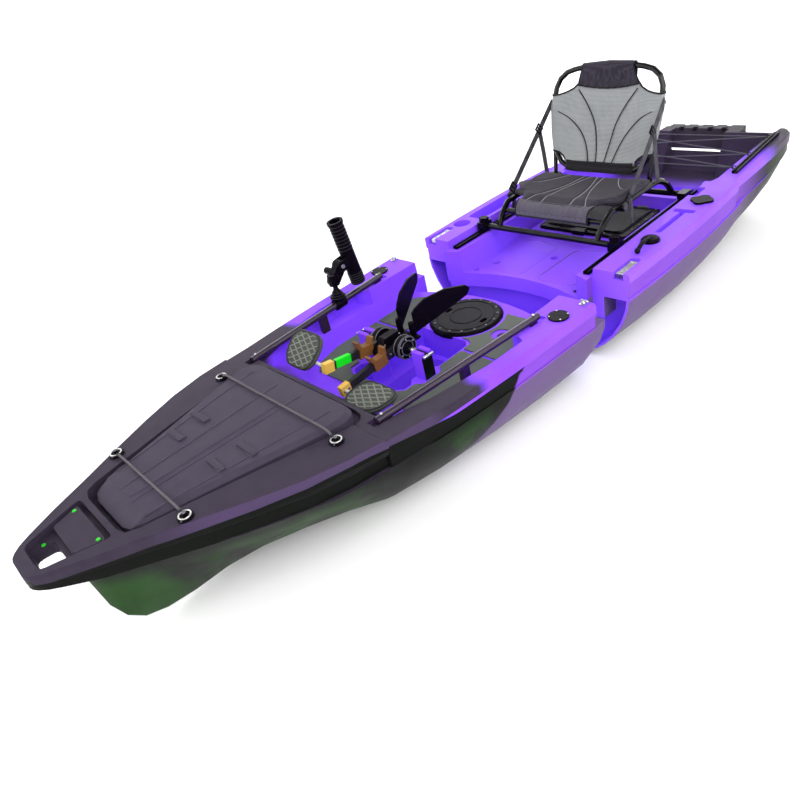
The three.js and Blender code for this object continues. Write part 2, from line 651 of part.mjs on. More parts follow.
function rearHull() {
  const top = deckHeight + overrun;
  const plan = (shares) => planOf(shares, -rearCockpit, halfBeam);
  const tankPlan = (shares) => planOf(shares, -tankLength, halfBeam).map(([x, y]) => [x - tankFront, y]);
  const shell = join([
    deckBody(rearDeckShares, rearDeckStationShares, rearLength, -1),
    bottomBody(rearDeckShares, rearBottomShares, rearBottomStationShares, rearLength, -1),
  ]);
  const socket = jointPlug(skinWall, -tongueReach - socketClearance, overrun)
    .intersect(tongueSpace(tongueReach + socketClearance, socketClearance));
  const lip = prism(floorArc(-wellX[0]), tongueTop + socketClearance, rearFloor + overrun)
    .intersect(block(-overrun, overrun, socketClearance - arcHalfChord, arcHalfChord - socketClearance, 0,
      gunwaleLedge));
  const opened = cut(shell, [
    socket,
    prism(floorArc(overrun), tongueTop + socketClearance, top),
  ]).add(lip);
  const hollowed = cut(opened, [
    tapered(plan(footwellShares), rearFloor, plan(footwellTopShares), gunwaleLedge + seatGap),
    tapered(plan(gunwaleShares), gunwaleLedge, plan(gunwaleTopShares), deckHeight + edgeRadius),
    block(-beamBack, -beamFront, -arcHalfChord, arcHalfChord, beamTop, top),
    tapered(tankPlan(tankFloorShares), tankFloor, tankPlan(tankRimShares), deckHeight + edgeRadius),
  ]);
  const platform = tapered(plan(platformShares), rearFloor - hatchRim, plan(platformTopShares), platformTop);
  const lower = halfBeam + overrun;
  const sternCuts = [-1, 1].flatMap((side) => [
    block(-lower - sternSide, -sternSide, side > 0 ? sternBlockHalf : -lower,
      side > 0 ? lower : -sternBlockHalf, -overrun, top),
    prism(plate(-sternSide - overrun, -carryX, ...(side > 0 ? carryY : [-carryY[1], -carryY[0]]),
      edgeRadius), -overrun, top),
  ]);
  const bay = tapered(
    plate(-sternBay + baySlope, -tankBayFront, -sternBayHalf, sternBayHalf, edgeRadius), tankFloor,
    plate(-sternBay, -tankBayFront, -sternBayHalf, sternBayHalf, edgeRadius), deckHeight + edgeRadius,
  );
  const teeth = toothPlaces.flatMap((y) => [
    block(-rearLength - overrun, toothDepth - rearLength, y - toothHalf, y + toothHalf, -overrun, top),
    block(-sternBay - baySlotDepth, -sternBay + edgeRadius, y - toothHalf, y + toothHalf, beamTop, top),
  ]);
  const pockets = [-1, 1].flatMap((side) => {
    const across = (y0, y1) => (side > 0 ? [y0, y1] : [-y1, -y0]);
    return [
      disc(-insertX, side * insertY, deckHeight - insertDepth, top, insertBore, 16),
      prism(plate(-sidePocketX[1], -sidePocketX[0], ...across(...sidePocketY), edgeRadius),
        sidePocketFloor, top),
      prism(plate(-latchBack, overrun, ...across(...latchY), edgeRadius, 1), latchFloor, top),
      disc(-lipDrainX, side * lipDrainY, 0, rearFloor + edgeRadius, drainRadius - toothHalf / 4, 12),
    ];
  });
  const drains = [...drainPlaces, ...tankDrainPlaces].map(([x, y]) =>
    disc(-x, y, -overrun, rearFloor + edgeRadius, drainRadius, 12));
  return cut(hollowed.add(platform), [
    prism(plate(-binBack, -binFront, -binHalf, binHalf, drainRadius), binFloor, top),
    disc(-rearHatchX, 0, tankFloor - hatchRim, top, rearHatchRadius + play, 24),
    disc(-rearHatchX, 0, rearBucketFloor, top, rearBucketRadius, 20),
    prism(plate(-trayX[1], -trayX[0], -trayY[1], -trayY[0], drainRadius), trayFloor, top),
    disc(-cupX, -cupY, cupFloor, top, cupRadius, 20),
    prism(plate(-teeX[2], -teeX[1], teeY[0], teeY[3], edgeRadius, 2), teeFloor, top),
    prism(plate(-teeX[1] - edgeRadius, -teeX[0], teeY[1], teeY[2], edgeRadius, 2), teeFloor, top),
    ...sternCuts, bay, ...teeth, ...pockets, ...drains,
    disc(-rudderX, 0, -overrun, rudderBoreTop, rudderBore, 12),
  ]);
}

// Rails, tracks and fittings
function railBody(side) {
  const ends = [railLine(0, railZ), railLine(1, railZ)].map((p) => at(p.x, side * p.y, p.z));
  const feet = railFootShares.map((share, k) => {
    const foot = railLine(share, 0);
    const seat = k === 1 ? ledgeHeight : railZ - railRadius - railSink;
    return block(foot.x - railFootHalf * 2, foot.x + railFootHalf * 2, side * foot.y - railFootHalf,
      side * foot.y + railFootHalf, seat + seatGap, railZ);
  });
  return join([bar(...ends, railRadius, 12), ...feet]);
}

const trackHeight = 11;
const trackHalf = 10;
const trackSlot = 4;
const trackLip = 3;
const seatTrackInset = { front: 4, back: 10 };
const seatTrackEnds = [seatTrackInset.front, rearCockpit - seatTrackInset.back];
const [aftTrackFront, aftTrackBack] = tankPlaces.track.map((x, k) => [tankFront + x, aftTrackY[k]]);

// Slotted channel lying along x from zero
function trackBody(length) {
  const [w, h, s, l] = [trackHalf, trackHeight, trackSlot, trackLip];
  const profile = [[-w, 0], [w, 0], [w, h], [s, h], [s, h - l], [w - l, h - l], [w - l, l], [l - w, l],
    [l - w, h - l], [-s, h - l], [-s, h], [-w, h]];
  const shape = new THREE.Shape(profile.map(([x, y]) => new THREE.Vector2(x, y)));
  const body = solid(new THREE.ExtrudeGeometry(shape, { depth: length, bevelEnabled: false }));
  return body.rotate([90, 0, 90]);
}

// Flat cap with lobes and a plug in its bore
const capRadius = 36;
const capLobeShare = 0.12;
const capHeight = 7;
const capSteps = 24;
function capBody(x, y, deck, bore, depth) {
  const outline = [];
  for (let k = 0; k < capSteps; k += 1) {
    const turn = (2 * Math.PI * k) / capSteps;
    const reach = capRadius * (1 + capLobeShare * Math.cos(turn * 4));
    outline.push([x + reach * Math.cos(turn), y + reach * Math.sin(turn)]);
  }
  return join([
    prism(outline, deck, deck + capHeight),
    disc(x, y, deck - depth, deck + capHeight / 2, bore - seatGap * 2, 16),
  ]);
}

// Round hatch lid with a grip rim, finger slots and a spigot in its bucket
const lidRimShare = 0.6;
const fingerShare = 0.62;
function roundLid(radius, seat, height, spigot) {
  const body = turned([
    [0, seat - height], [spigot, seat - height], [spigot, seat], [radius, seat],
    [radius, seat + height * lidRimShare], [radius - height / 2, seat + height], [0, seat + height],
  ], 28);
  const slots = [-1, 1].map((side) => {
    const middle = side * radius * fingerShare;
    const half = radius / 16;
    return prism(plate(-half * 2, half * 2, middle - half, middle + half, half, 2), seat + height / 2,
      seat + height * 2);
  });
  return cut(body, slots);
}

const hatchHeight = 18;

// Bow hatch lid: stepped rim, chamfered nose, centre panel and slanted ribs
const ribPlaceShares = [0.4384, 0.5761];
const ribInnerShares = [0.42, 0.44];
const ribOuterShares = [0.82, 0.84];
const ribWidth = 22;
const ribHeight = 5;
const lidPanel = { backHalf: 34, frontHalf: 20, bevel: 3, radius: 10 };
function bowLid() {
  const seat = lidSeat + seatGap;
  const top = seat + lidThickness;
  const body = join([
    tapered(lidPlan(0), seat, lidPlan(-bevel), top - lidGap),
    tapered(lidPlan(-bevel), top - lidGap - seatGap, lidPlan(-lidGap), top),
  ]);
  const nose = sidePrism([
    [lidFront - lidGap * 4, top + overrun], [lidFront + lidGap, top + overrun],
    [lidFront + lidGap, top - lidThickness / 2], [lidFront, top - lidThickness / 2],
    [lidFront - lidGap * 4, top],
  ], 0, halfBeam * 2);
  const halfAt = (x) => lidFrontHalf + ((lidBackHalf - lidFrontHalf) * (lidFront - x)) / (lidFront - lidBack);
  const ribPlaces = ribPlaceShares.map((share) => lidFront - share * (lidFront - lidBack));
  const ribs = ribPlaces.flatMap((x, k) => [-1, 1].map((side) => {
    const [y0, y1] = [ribInnerShares[k] * halfAt(x) * side, ribOuterShares[k] * halfAt(x) * side];
    const lower = [[x, y0], [x + ribWidth, y0], [x + ribWidth + ribHeight, y1], [x + ribHeight, y1]];
    const upper = [[x + ribHeight, y0], [x + ribWidth, y0], [x + ribWidth, y1], [x + ribHeight * 2, y1]];
    return tapered(lower, top - tuck, upper, top + ribHeight);
  }));
  const panelPlan = (shrink) => taperPlate(lidBack + lidGap * 8 + shrink, lidFront - lidGap * 4 - shrink,
    lidPanel.backHalf - shrink, lidPanel.frontHalf - shrink, lidPanel.radius);
  const panel = tapered(panelPlan(0), top - tuck, panelPlan(lidPanel.bevel), top + bevel);
  return join([cut(body, [nose]), ...ribs, panel]);
}

const cleatInset = 101;
const cleatPlaces = [[lidFront - cleatInset, cleatY[0]], [lidBack + cleatInset, cleatY[1]]];
const cleatRadius = 19;
const cleatHeight = 6;
const cleatTopShare = 0.75;
const postRadius = 5;
const postHeight = 12;
const ringRadius = 13;
const wireRadius = 2.2;
const cordRadius = 3;

function cleatBody(x, y) {
  const seat = seatOn(frontDeckTop, x - cleatRadius, x + cleatRadius);
  const body = turned([
    [0, 0], [cleatRadius, 0], [cleatRadius, cleatHeight / 2], [cleatRadius * cleatTopShare, cleatHeight],
    [postRadius, cleatHeight], [postRadius, postHeight], [0, postHeight],
  ], 14);
  return moved(body, x, y, seat);
}

function ringBody(x, y, z) {
  const geometry = new THREE.TorusGeometry(ringRadius, wireRadius, 5, 12);
  return moved(solid(geometry), x, y, z);
}

// Elastic cord over the lid, with a ring at each end around its cleat
function bowCord([x, y]) {
  const seat = seatOn(frontDeckTop, x - cleatRadius, x + cleatRadius);
  const ringZ = seat + cleatHeight + cordRadius + seatGap;
  const lidTop = lidSeat + seatGap + lidThickness;
  const over = lidTop + bevel + cordRadius + seatGap;
  const points = [
    at(x, y - ringRadius, ringZ), at(x, y - ringRadius * 3, over), at(x, y / 3, over), at(x, 0, over),
    at(x, -y / 3, over), at(x, ringRadius * 3 - y, over), at(x, ringRadius - y, ringZ),
  ];
  return join([pipe(points, cordRadius, 6, 14), ringBody(x, y, ringZ), ringBody(x, -y, ringZ)]);
}

// Both sides of the row, and a span of y mirrored to one side
const span = (side, y0, y1) => (side > 0 ? [y0, y1] : [-y1, -y0]);

// Foam mats on the front floor, laid round the hatch, the well and the towers
const mat = { thick: 4, back: 20, split: 252, gap: 12, front: 556, inner: 12, rim: 14, hole: 30, holeOut: 52 };
const matX = [mat.back, 70, 430, 520, mat.front];
const matOuter = matX.map((x, k) => [x, matY[k]]);
const floorWellX = [200, 212, 352, 370, 440, 458, 492, 512];
const floorWellHalf = [104, 124, 124, 146, 146, 122, 122, 96];
function matBody(side, back, front) {
  const outline = [[mat.back, mat.inner], ...matOuter, [mat.front, mat.inner]].map(([x, y]) => [x, side * y]);
  const ordered = side > 0 ? outline.reverse() : outline;
  const wellPlan = planOf(floorWellX.map((x, k) => [x, floorWellHalf[k]]), 1, 1);
  const low = frontFloor + seatGap;
  const whole = cut(prism(ordered, low, low + mat.thick), [
    disc(hatchX, 0, 0, overrun, hatchRadius + mat.rim, 28),
    prism(wellPlan, 0, overrun),
    disc(cupRim.x, side * (hatchRadius + mat.holeOut), 0, overrun, mat.hole, 16),
  ]);
  return whole.intersect(block(back, front, -halfBeam, halfBeam, 0, overrun));
}

// Flush inserts and latch strikes of the front section
const frontInsert = { x: 107, bore: 24, hole: 30, depth: 28, radius: 30, height: 5 };
const strike = { x: 14, y: strikeY, reach: 13, half: 8, plate: 3, height: 10 };
function insertBody(side) {
  const { x, bore, depth, radius, height } = frontInsert;
  const y = frontInsertY;
  const deck = seatOn(frontDeckTop, x - radius, x + radius);
  return join([disc(x, side * y, deck, deck + height, radius, 20),
    disc(x, side * y, deck - depth + height, deck + height / 2, bore - seatGap * 2, 16)]);
}
function strikeBody(side) {
  const seat = seatOn(frontDeckTop, 0, strike.x + strike.reach);
  return join([
    block(strike.x - strike.reach, strike.x + strike.reach, ...span(side, strike.y - strike.half,
      strike.y + strike.half), seat, seat + strike.plate),
    bar(at(strike.x, side * (strike.y - strike.half), seat + strike.height),
      at(strike.x, side * (strike.y + strike.half), seat + strike.height), strike.plate, 8),
    block(strike.x - strike.plate, strike.x + strike.plate, ...span(side, strike.y - strike.half,
      strike.y - strike.half + strike.plate), seat, seat + strike.height),
    block(strike.x - strike.plate, strike.x + strike.plate, ...span(side, strike.y + strike.half - strike.plate,
      strike.y + strike.half), seat, seat + strike.height),
  ]);
}

// Rod holder that clamps round the starboard rail
const holderRise = 80;
const holder = { share: 0.354, clampRadius: 19, clampBore: 11.5, clampHalf: 20, ballZ: railZ + holderRise, ball: 15,
  socket: 16.3, armHalf: 13, armBack: 38, armRise: 37, boss: 18, bossBulge: 2, mouth: 14, knobReach: 34,
  knobRadius: 12, lean: 8, tubeRadius: 24, tubeBore: 19, tubeBelow: 90, tubeAbove: 138, tubeFloor: 8, lug: 16,
  forkWall: 5, collar: 3 };
const holderCone = [[25, 18], [25, 26], [20, 27], [20, 34], [15, 35], [15, 42], [9, 50], [7, 68]];
const holderPlace = railLine(holder.share, railZ);
function holderBase() {
  const [x, y] = [holderPlace.x, -holderPlace.y];
  const along = railLine(1, railZ).sub(railLine(0, railZ)).normalize();
  const end = (sign) => at(x + sign * along.x * holder.clampHalf, y - sign * along.y * holder.clampHalf, railZ);
  const farEnd = (sign) => at(x + sign * along.x * holder.clampHalf * 2, y - sign * along.y * holder.clampHalf * 2,
    railZ);
  const cone = turned([[0, 0], [holder.clampBore + seatGap, 0], ...holderCone, [0, holderRise]], 18);
  return cut(join([
    bar(end(-1), end(1), holder.clampRadius, 16),
    moved(cone, x, y, railZ),
    moved(wasm.Manifold.sphere(holder.ball, 12), x, y, holder.ballZ),
  ]), [bar(farEnd(-1), farEnd(1), holder.clampBore, 16)]);
}
function holderArm() {
  const [x, y] = [holderPlace.x, -holderPlace.y];
  const boss = (back, rise) => bar(at(x - back, y - holder.armHalf, holder.ballZ + rise),
    at(x - back, y + holder.armHalf, holder.ballZ + rise), holder.boss, 16);
  const body = join([
    moved(turned([[0, -holder.boss], [holder.boss, -holder.boss], [holder.boss + holder.bossBulge, 0],
      [holder.boss, holder.boss], [0, holder.boss]], 16), x, y, holder.ballZ + holder.lug / 4),
    wasm.Manifold.hull([boss(0, 0), boss(holder.armBack, holder.armRise)]),
  ]);
  return cut(body, [
    moved(wasm.Manifold.sphere(holder.socket, 12), x, y, holder.ballZ),
    disc(x, y, 0, holder.ballZ, holder.mouth, 16),
    bar(at(x - holder.armBack / 2, y - overrun, holder.ballZ + holder.armRise / 2),
      at(x - holder.armBack / 2, y + overrun, holder.ballZ + holder.armRise / 2), pinRadius, 12),
  ]);
}
function holderKnob() {
  const [x, y] = [holderPlace.x - holder.armBack / 2, -holderPlace.y];
  const z = holder.ballZ + holder.armRise / 2;
  const start = y - holder.boss - holder.bossBulge - seatGap;
  return join([
    bar(at(x, start - holder.knobReach / 3, z), at(x, y + holder.armHalf, z), pinRadius - pinClearance, 12),
    bar(at(x, start - holder.knobReach, z), at(x, start, z), holder.knobRadius, 8),
  ]);
}
// Tube with its floor, held beside the arm's end by a forked lug
function holderTube() {
  const [x, y, z] = [holderPlace.x - holder.armBack, -holderPlace.y, holder.ballZ + holder.armRise];
  const forkY = holder.armHalf + seatGap;
  const forkOut = forkY + holder.forkWall;
  const back = holder.boss + play + holder.tubeRadius;
  const fork = [-1, 1].flatMap((side) => [
    block(-back, 0, ...span(side, forkY, forkOut), -holder.boss, holder.boss),
    bar(at(0, side * forkY, 0), at(0, side * forkOut, 0), holder.boss, 16),
  ]);
  const body = cut(join([
    disc(-back, 0, -holder.tubeBelow, holder.tubeAbove, holder.tubeRadius, 20),
    ...fork,
    disc(-back, 0, holder.tubeAbove - holder.tubeFloor, holder.tubeAbove, holder.tubeRadius + holder.collar, 20),
  ]), [disc(-back, 0, holder.tubeFloor - holder.tubeBelow, overrun, holder.tubeBore, 20)]);
  return moved(body.rotate([0, holder.lean, 0]), x, y, z);
}

// Fin drive: spine with its cross pin, drums and the yoke of the fins
const driveZ = { low: 34, high: 36, yokeLow: 10, yokeHigh: 3, yokeTop: 46 };
const drive = { pinHalf: 145, back: 374, front: 474, half: 14, low: pivotZ - driveZ.low, high: pivotZ + driveZ.high,
  drum: 35, drumIn: 38, drumOut: 62, arm: 28, armHalf: 7, hub: 20, barHigh: 12, reach: 236, bracketBack: 204,
  bracketHalf: 9, bracketHigh: 15, axleAt: 224, axle: 5, axleOut: 188, portTurn: 5, starboardTurn: -9, yokeX: 345,
  yokeFront: 14, yokeY: 28, yokeHalf: 42, yokeLow: pivotZ - driveZ.yokeLow, yokeHigh: pivotZ - driveZ.yokeHigh,
  yokePin: 5, yokeTop: pivotZ + driveZ.yokeTop, handle: 4, handleHalf: 13 };
const spineNose = { under: 26, chin: 22, brow: 30, top: 34, heel: 12 };
function spineBody() {
  const pinZ = pivotZ;
  const handles = [-1, 1].map((side) => bar(at(pivotX - drive.handleHalf, side * drive.pinHalf, pinZ),
    at(pivotX + drive.handleHalf, side * drive.pinHalf, pinZ), drive.handle, 8));
  const nose = [[drive.back, drive.low], [drive.front - spineNose.under, drive.low],
    [drive.front, drive.low + spineNose.chin], [drive.front, drive.high - spineNose.brow],
    [drive.front - spineNose.top, drive.high], [drive.back + spineNose.heel, drive.high],
    [drive.back, drive.high - spineNose.heel]];
  return join([
    sidePrism(nose, 0, drive.half * 2),
    bar(at(pivotX, -drive.pinHalf, pinZ), at(pivotX, drive.pinHalf, pinZ), pinRadius, 16),
    ...handles,
    ...[-1, 1].map((side) => bar(at(pivotX, side * drive.drumIn, pinZ), at(pivotX, side * drive.drumOut, pinZ),
      drive.drum, 24)),
    block(drive.yokeX - drive.yokeFront, drive.back + drive.half / 2, -drive.yokeHalf, drive.yokeHalf, drive.yokeLow,
      drive.yokeHigh),
    ...[-1, 1].map((side) => disc(drive.yokeX, side * drive.yokeY, drive.yokeLow, drive.yokeTop, drive.yokePin, 12)),
  ]);
}
const armTurn = (side) => (side > 0 ? drive.portTurn : drive.starboardTurn);
function placeArm(side, body) {
  return moved(body.rotate([0, armTurn(side), 0]), pivotX, 0, pivotZ);
}
function armBody(side) {
  const y = side * drive.arm;
  const body = cut(join([
    bar(at(0, y - drive.armHalf, 0), at(0, y + drive.armHalf, 0), drive.hub, 20),
    block(0, drive.bracketBack, y - drive.armHalf, y + drive.armHalf, -drive.barHigh, drive.barHigh),
    block(drive.bracketBack, drive.reach, y - drive.bracketHalf, y + drive.bracketHalf, -drive.bracketHigh,
      drive.bracketHigh),
    bar(at(drive.axleAt, y, 0), at(drive.axleAt, side * drive.axleOut, 0), drive.axle, 12),
  ]), [bar(at(0, -overrun, 0), at(0, overrun, 0), pinRadius + pinClearance, 16)]);
  return placeArm(side, body);
}
const clip = { back: 62, front: 112, wall: 4.5, gap: 0.5, horn: 20, hornWide: 12, lean: 9 };
function clipBody(side) {
  const y = side * drive.arm;
  const [half, high] = [drive.armHalf + clip.gap, drive.barHigh + clip.gap];
  const out = clip.wall;
  const shell = block(clip.back, clip.front, y - half - out, y + half + out, -high - out, high + out);
  const horns = [clip.back, clip.front - clip.hornWide].map((x, k) => sidePrism([
    [x, high], [x + clip.hornWide, high],
    [x + clip.hornWide + (k === 0 ? -clip.lean : clip.lean), high + out + clip.horn],
    [x + (k === 0 ? -clip.lean : clip.lean) + out, high + out + clip.horn],
  ], y, (half + out) * 2));
  return placeArm(side, cut(join([shell, ...horns]), [
    block(0, clip.front + overrun, y - half, y + half, -high, high),
    block(clip.back + clip.hornWide, clip.front - clip.hornWide, y - overrun, y + overrun, high + out, overrun),
  ]));
}
const pad = { out: 137, long: 112, wide: 145, low: 5, thick: 12, radius: 46, taper: 8, sleeve: 10, bore: 5.6,
  sleeveHalf: 44, underBevel: 4, topBevel: 3, portTurn: -5, portShift: -4, starboardTurn: 52, starboardShift: -20 };
function pedalBody(side) {
  const y = side * pad.out;
  const [turn, shift] = side > 0 ? [pad.portTurn, pad.portShift] : [pad.starboardTurn, pad.starboardShift];
  const plan = (shrink) => taperPlate(-pad.long / 2 + shrink, pad.long / 2 - shrink, pad.wide / 2 - shrink,
    pad.wide / 2 - pad.taper - shrink, pad.radius, 4);
  const board = join([
    tapered(plan(bevel), pad.low, plan(0), pad.low + pad.underBevel),
    prism(plan(0), pad.low + pad.underBevel, pad.low + pad.thick - pad.topBevel),
    tapered(plan(0), pad.low + pad.thick - pad.topBevel, plan(pad.topBevel), pad.low + pad.thick),
  ]);
  const axle = bar(at(0, y - pad.sleeveHalf, 0), at(0, y + pad.sleeveHalf, 0), pad.sleeve, 14);
  const body = cut(join([moved(board, shift, y, 0), axle]), [
    bar(at(0, -overrun, 0), at(0, overrun, 0), pad.bore, 14),
  ]);
  return placeArm(side, moved(body.rotate([0, turn, 0]), drive.axleAt, 0, 0));
}
// Upright blade on a hub that turns on its yoke pin
const blade = { hub: 10, under: 2.4, high: 44, turn: 25, thick: 7 };
const bladeOutline = [[7, 8], [36, 18], [120, 48], [184, 72], [196, 92], [184, 104], [120, 114], [50, 104],
  [18, 84], [7, 72]];
function finBody(side) {
  const leaf = sidePrism(bladeOutline.map(([x, z]) => [-x, z]), 0, blade.thick);
  const body = cut(join([disc(0, 0, -blade.under, blade.high, blade.hub, 16), leaf]), [
    disc(0, 0, -overrun, driveZ.yokeTop + blade.hub / 2, drive.yokePin + pinClearance, 12),
  ]);
  return moved(body.rotate([0, 0, -side * blade.turn]), drive.yokeX, side * drive.yokeY, pivotZ);
}

// Rear deck fittings
const rectLid = { back: 664, front: 388, half: rectLidHalf, radius: 16, thick: 12, panel: 5, inset: 22,
  panelSlope: 4 };
function rectLidBody() {
  const low = platformTop + seatGap;
  const outline = (shrink) => plate(-rectLid.back + shrink, -rectLid.front - shrink, -rectLid.half + shrink,
    rectLid.half - shrink, rectLid.radius);
  return join([
    tapered(outline(0), low, outline(bevel), low + rectLid.thick),
    tapered(outline(rectLid.inset), low + rectLid.thick - tuck, outline(rectLid.inset + rectLid.panelSlope),
      low + rectLid.thick + rectLid.panel),
    prism(plate(-binBack + pinRadius, -binFront - pinRadius, pinRadius - binHalf, binHalf - pinRadius, drainRadius),
      low - hatchRim, low + tuck),
  ]);
}
const lidLatch = { ahead: 12, behind: 16, half: 24, height: 7, hook: 8, grip: 46 };
function lidLatchBody() {
  const top = platformTop + seatGap * 2 + rectLid.thick;
  const front = lidLatch.ahead - rectLid.front;
  return join([
    block(-rectLid.front - lidLatch.behind, front, -lidLatch.half, lidLatch.half, top, top + lidLatch.height),
    block(front - lidLatch.hook, front, -lidLatch.half, lidLatch.half, platformTop + seatGap * 2, top + tuck),
    block(front - lidLatch.hook, front + lidLatch.hook / 2, -lidLatch.grip / 2 - lidLatch.hook,
      lidLatch.grip / 2 + lidLatch.hook, top - lidLatch.hook / 2, top + lidLatch.height),
  ]);
}
const gear = { lobes: 6, share: 0.11, steps: 48, height: 16, boss: 5, drop: 12 };
function lobedLid() {
  const outline = [];
  for (let k = 0; k < gear.steps; k += 1) {
    const turn = (2 * Math.PI * k) / gear.steps;
    const reach = (rearHatchRadius - rearHatchRadius * gear.share) * (1 + gear.share * Math.cos(turn * gear.lobes));
    outline.push([reach * Math.cos(turn) - rearHatchX, reach * Math.sin(turn)]);
  }
  const low = tankFloor - hatchRim + seatGap;
  return join([
    prism(outline, low, low + gear.height),
    disc(-rearHatchX, 0, low - gear.drop, low + tuck, rearBucketRadius - tuck, 24),
    disc(-rearHatchX, 0, low, low + gear.height + gear.boss, rearBucketRadius * cornerShare, 20),
  ]);
}
const carryBar = { x: rearLength - sternInset.bar, radius: 11, flange: 15, flangeThick: 6 };
function carryBody(side) {
  const [y0, y1] = [carryY[0] + seatGap, carryY[1] - seatGap];
  const place = (y) => at(-carryBar.x, side * y, carryZ);
  return join([
    bar(place(y0), place(y1), carryBar.radius, 14),
    bar(place(y0), place(y0 + carryBar.flangeThick), carryBar.flange, 14),
    bar(place(y1 - carryBar.flangeThick), place(y1), carryBar.flange, 14),
  ]);
}
const lacingPlaces = tankPlaces.lacing.map((x, k) => [tankFront + x, lacingY[k]]);
const lacing = { aft: lacingPlaces[0], middle: lacingPlaces[1], low: lacingPlaces[2], eye: 6, eyeHeight: 9,
  cord: 2.6, lift: 5, toggle: 5, toggleHalf: 14 };
function lacingBody() {
  const spot = ([x, y], side) => at(-x, side * y, seatOn(rearDeckTop, -x - lacing.eye, lacing.eye - x) + lacing.lift);
  const run = (a, b) => bar(a, b, lacing.cord, 6);
  const eyes = [lacing.aft, lacing.middle, lacing.low].flatMap((place) => [-1, 1].map((side) => {
    const point = spot(place, side);
    return disc(point.x, point.y, point.z - lacing.lift, point.z - lacing.lift + lacing.eyeHeight, lacing.eye, 8);
  }));
  const low = spot(lacing.low, 0);
  return join([
    run(spot(lacing.aft, -1), spot(lacing.aft, 1)), run(spot(lacing.low, -1), spot(lacing.low, 1)),
    ...[-1, 1].flatMap((side) => [
      run(spot(lacing.aft, side), spot(lacing.middle, -side)),
      run(spot(lacing.middle, side), spot(lacing.low, -side)),
    ]),
    bar(at(low.x, -lacing.toggleHalf, low.z), at(low.x, lacing.toggleHalf, low.z), lacing.toggle, 10),
    ...eyes,
  ]);
}
const lever = { x: 236, y: leverY[0], radius: 30, topShare: 0.8, height: 12, dome: 2, tipX: 133, tipY: leverY[1],
  rise: 16, bow: 2, bar: 7, ball: 11, tip: 10 };
function leverBody() {
  const seat = seatOn(rearDeckTop, -lever.x - lever.radius, lever.ball - lever.tipX);
  const hub = turned([[0, 0], [lever.radius, 0], [lever.radius, lever.height / 2],
    [lever.radius * lever.topShare, lever.height], [0, lever.height + lever.dome]], 20);
  const knee = (lever.x + lever.tipX) / 2;
  return join([
    moved(hub, -lever.x, lever.y, seat),
    pipe([at(-lever.x, lever.y, seat + lever.height), at(-knee - lever.radius / 2, lever.y + lever.bow,
      seat + lever.rise), at(-knee + lever.radius / 2, (lever.y + lever.tipY) / 2, seat + lever.rise + lever.bow),
      at(-lever.tipX, lever.tipY, seat + lever.ball)], lever.bar, 8, 8),
    moved(wasm.Manifold.sphere(lever.tip, 8), -lever.tipX, lever.tipY, seat + lever.ball),
  ]);
}
const rudder = { thick: 6, shaft: 6.8, drop: 4 };
const rudderX0 = [-14, 50, 60, 44, 8, -18];
const rudderHeightShares = [0.2242, 0.2242, 0.1333, 0.0182, 0.0182, 0.1333];
function rudderBody() {
  const heights = scaled(rudderHeightShares, deckHeight);
  return join([
    sidePrism(rudderX0.map((x, k) => [-rudderX - x, heights[k]]), 0, rudder.thick),
    disc(-rudderX, 0, heights[2], rudderBoreTop - rudder.drop, rudder.shaft, 12),
  ]);
}
const latch = { hingeX: 94, front: 14, z: latchZ, half: 12, pin: 4, thick: 7, hook: 10, roll: 6 };
function latchBody(side) {
  const y = (latchY[0] + latchY[1]) / 2;
  const outline = [[-latch.hingeX - latch.roll, latch.z - latch.thick / 2], [-latch.front, latch.z - latch.thick / 2],
    [-latch.front, latch.z - latch.hook], [latch.roll - latch.front, latch.z - latch.hook],
    [latch.roll - latch.front, latch.z + latch.thick / 2], [-latch.hingeX - latch.roll, latch.z + latch.thick / 2]];
  return join([
    sidePrism(outline, side * y, latch.half * 2),
    bar(at(-latch.hingeX, side * (latchY[0] + seatGap * 2), latch.z),
      at(-latch.hingeX, side * (latchY[1] - seatGap * 2), latch.z), latch.pin, 10),
    bar(at(-latch.hingeX, side * (y - latch.half), latch.z), at(-latch.hingeX, side * (y + latch.half), latch.z),
      latch.roll, 12),
  ]);
}

// Seat: base frame on the tracks, pad, back frame, mesh, straps and clamp knobs
// Its heights count from the gunwale ledge, its places aft from the joint, its insets from the track line
const seat = { tube: 11, barX: 180, barZ: 23.4, rearX: 650, frontBarX: 232, frontBarZ: 72, footHalf: 25,
  footWide: 15, footTop: 42, sideZ: 98, hingeX: 545, stud: 6, knob: 17, knobHeight: 14, knobStem: 5, knobDepth: 12,
  tabX: 300, tab: 7, lug: 14, legX: 568, legZ: 236, leg: 8, frontBar: 10 };
const inset = { upright: 71, rise: 67, shoulder: 61, tab: 32.8, rear: 44, studIn: 88, studOut: 60, lugOut: 73,
  lugIn: 85, legTop: 75, legFoot: 79 };
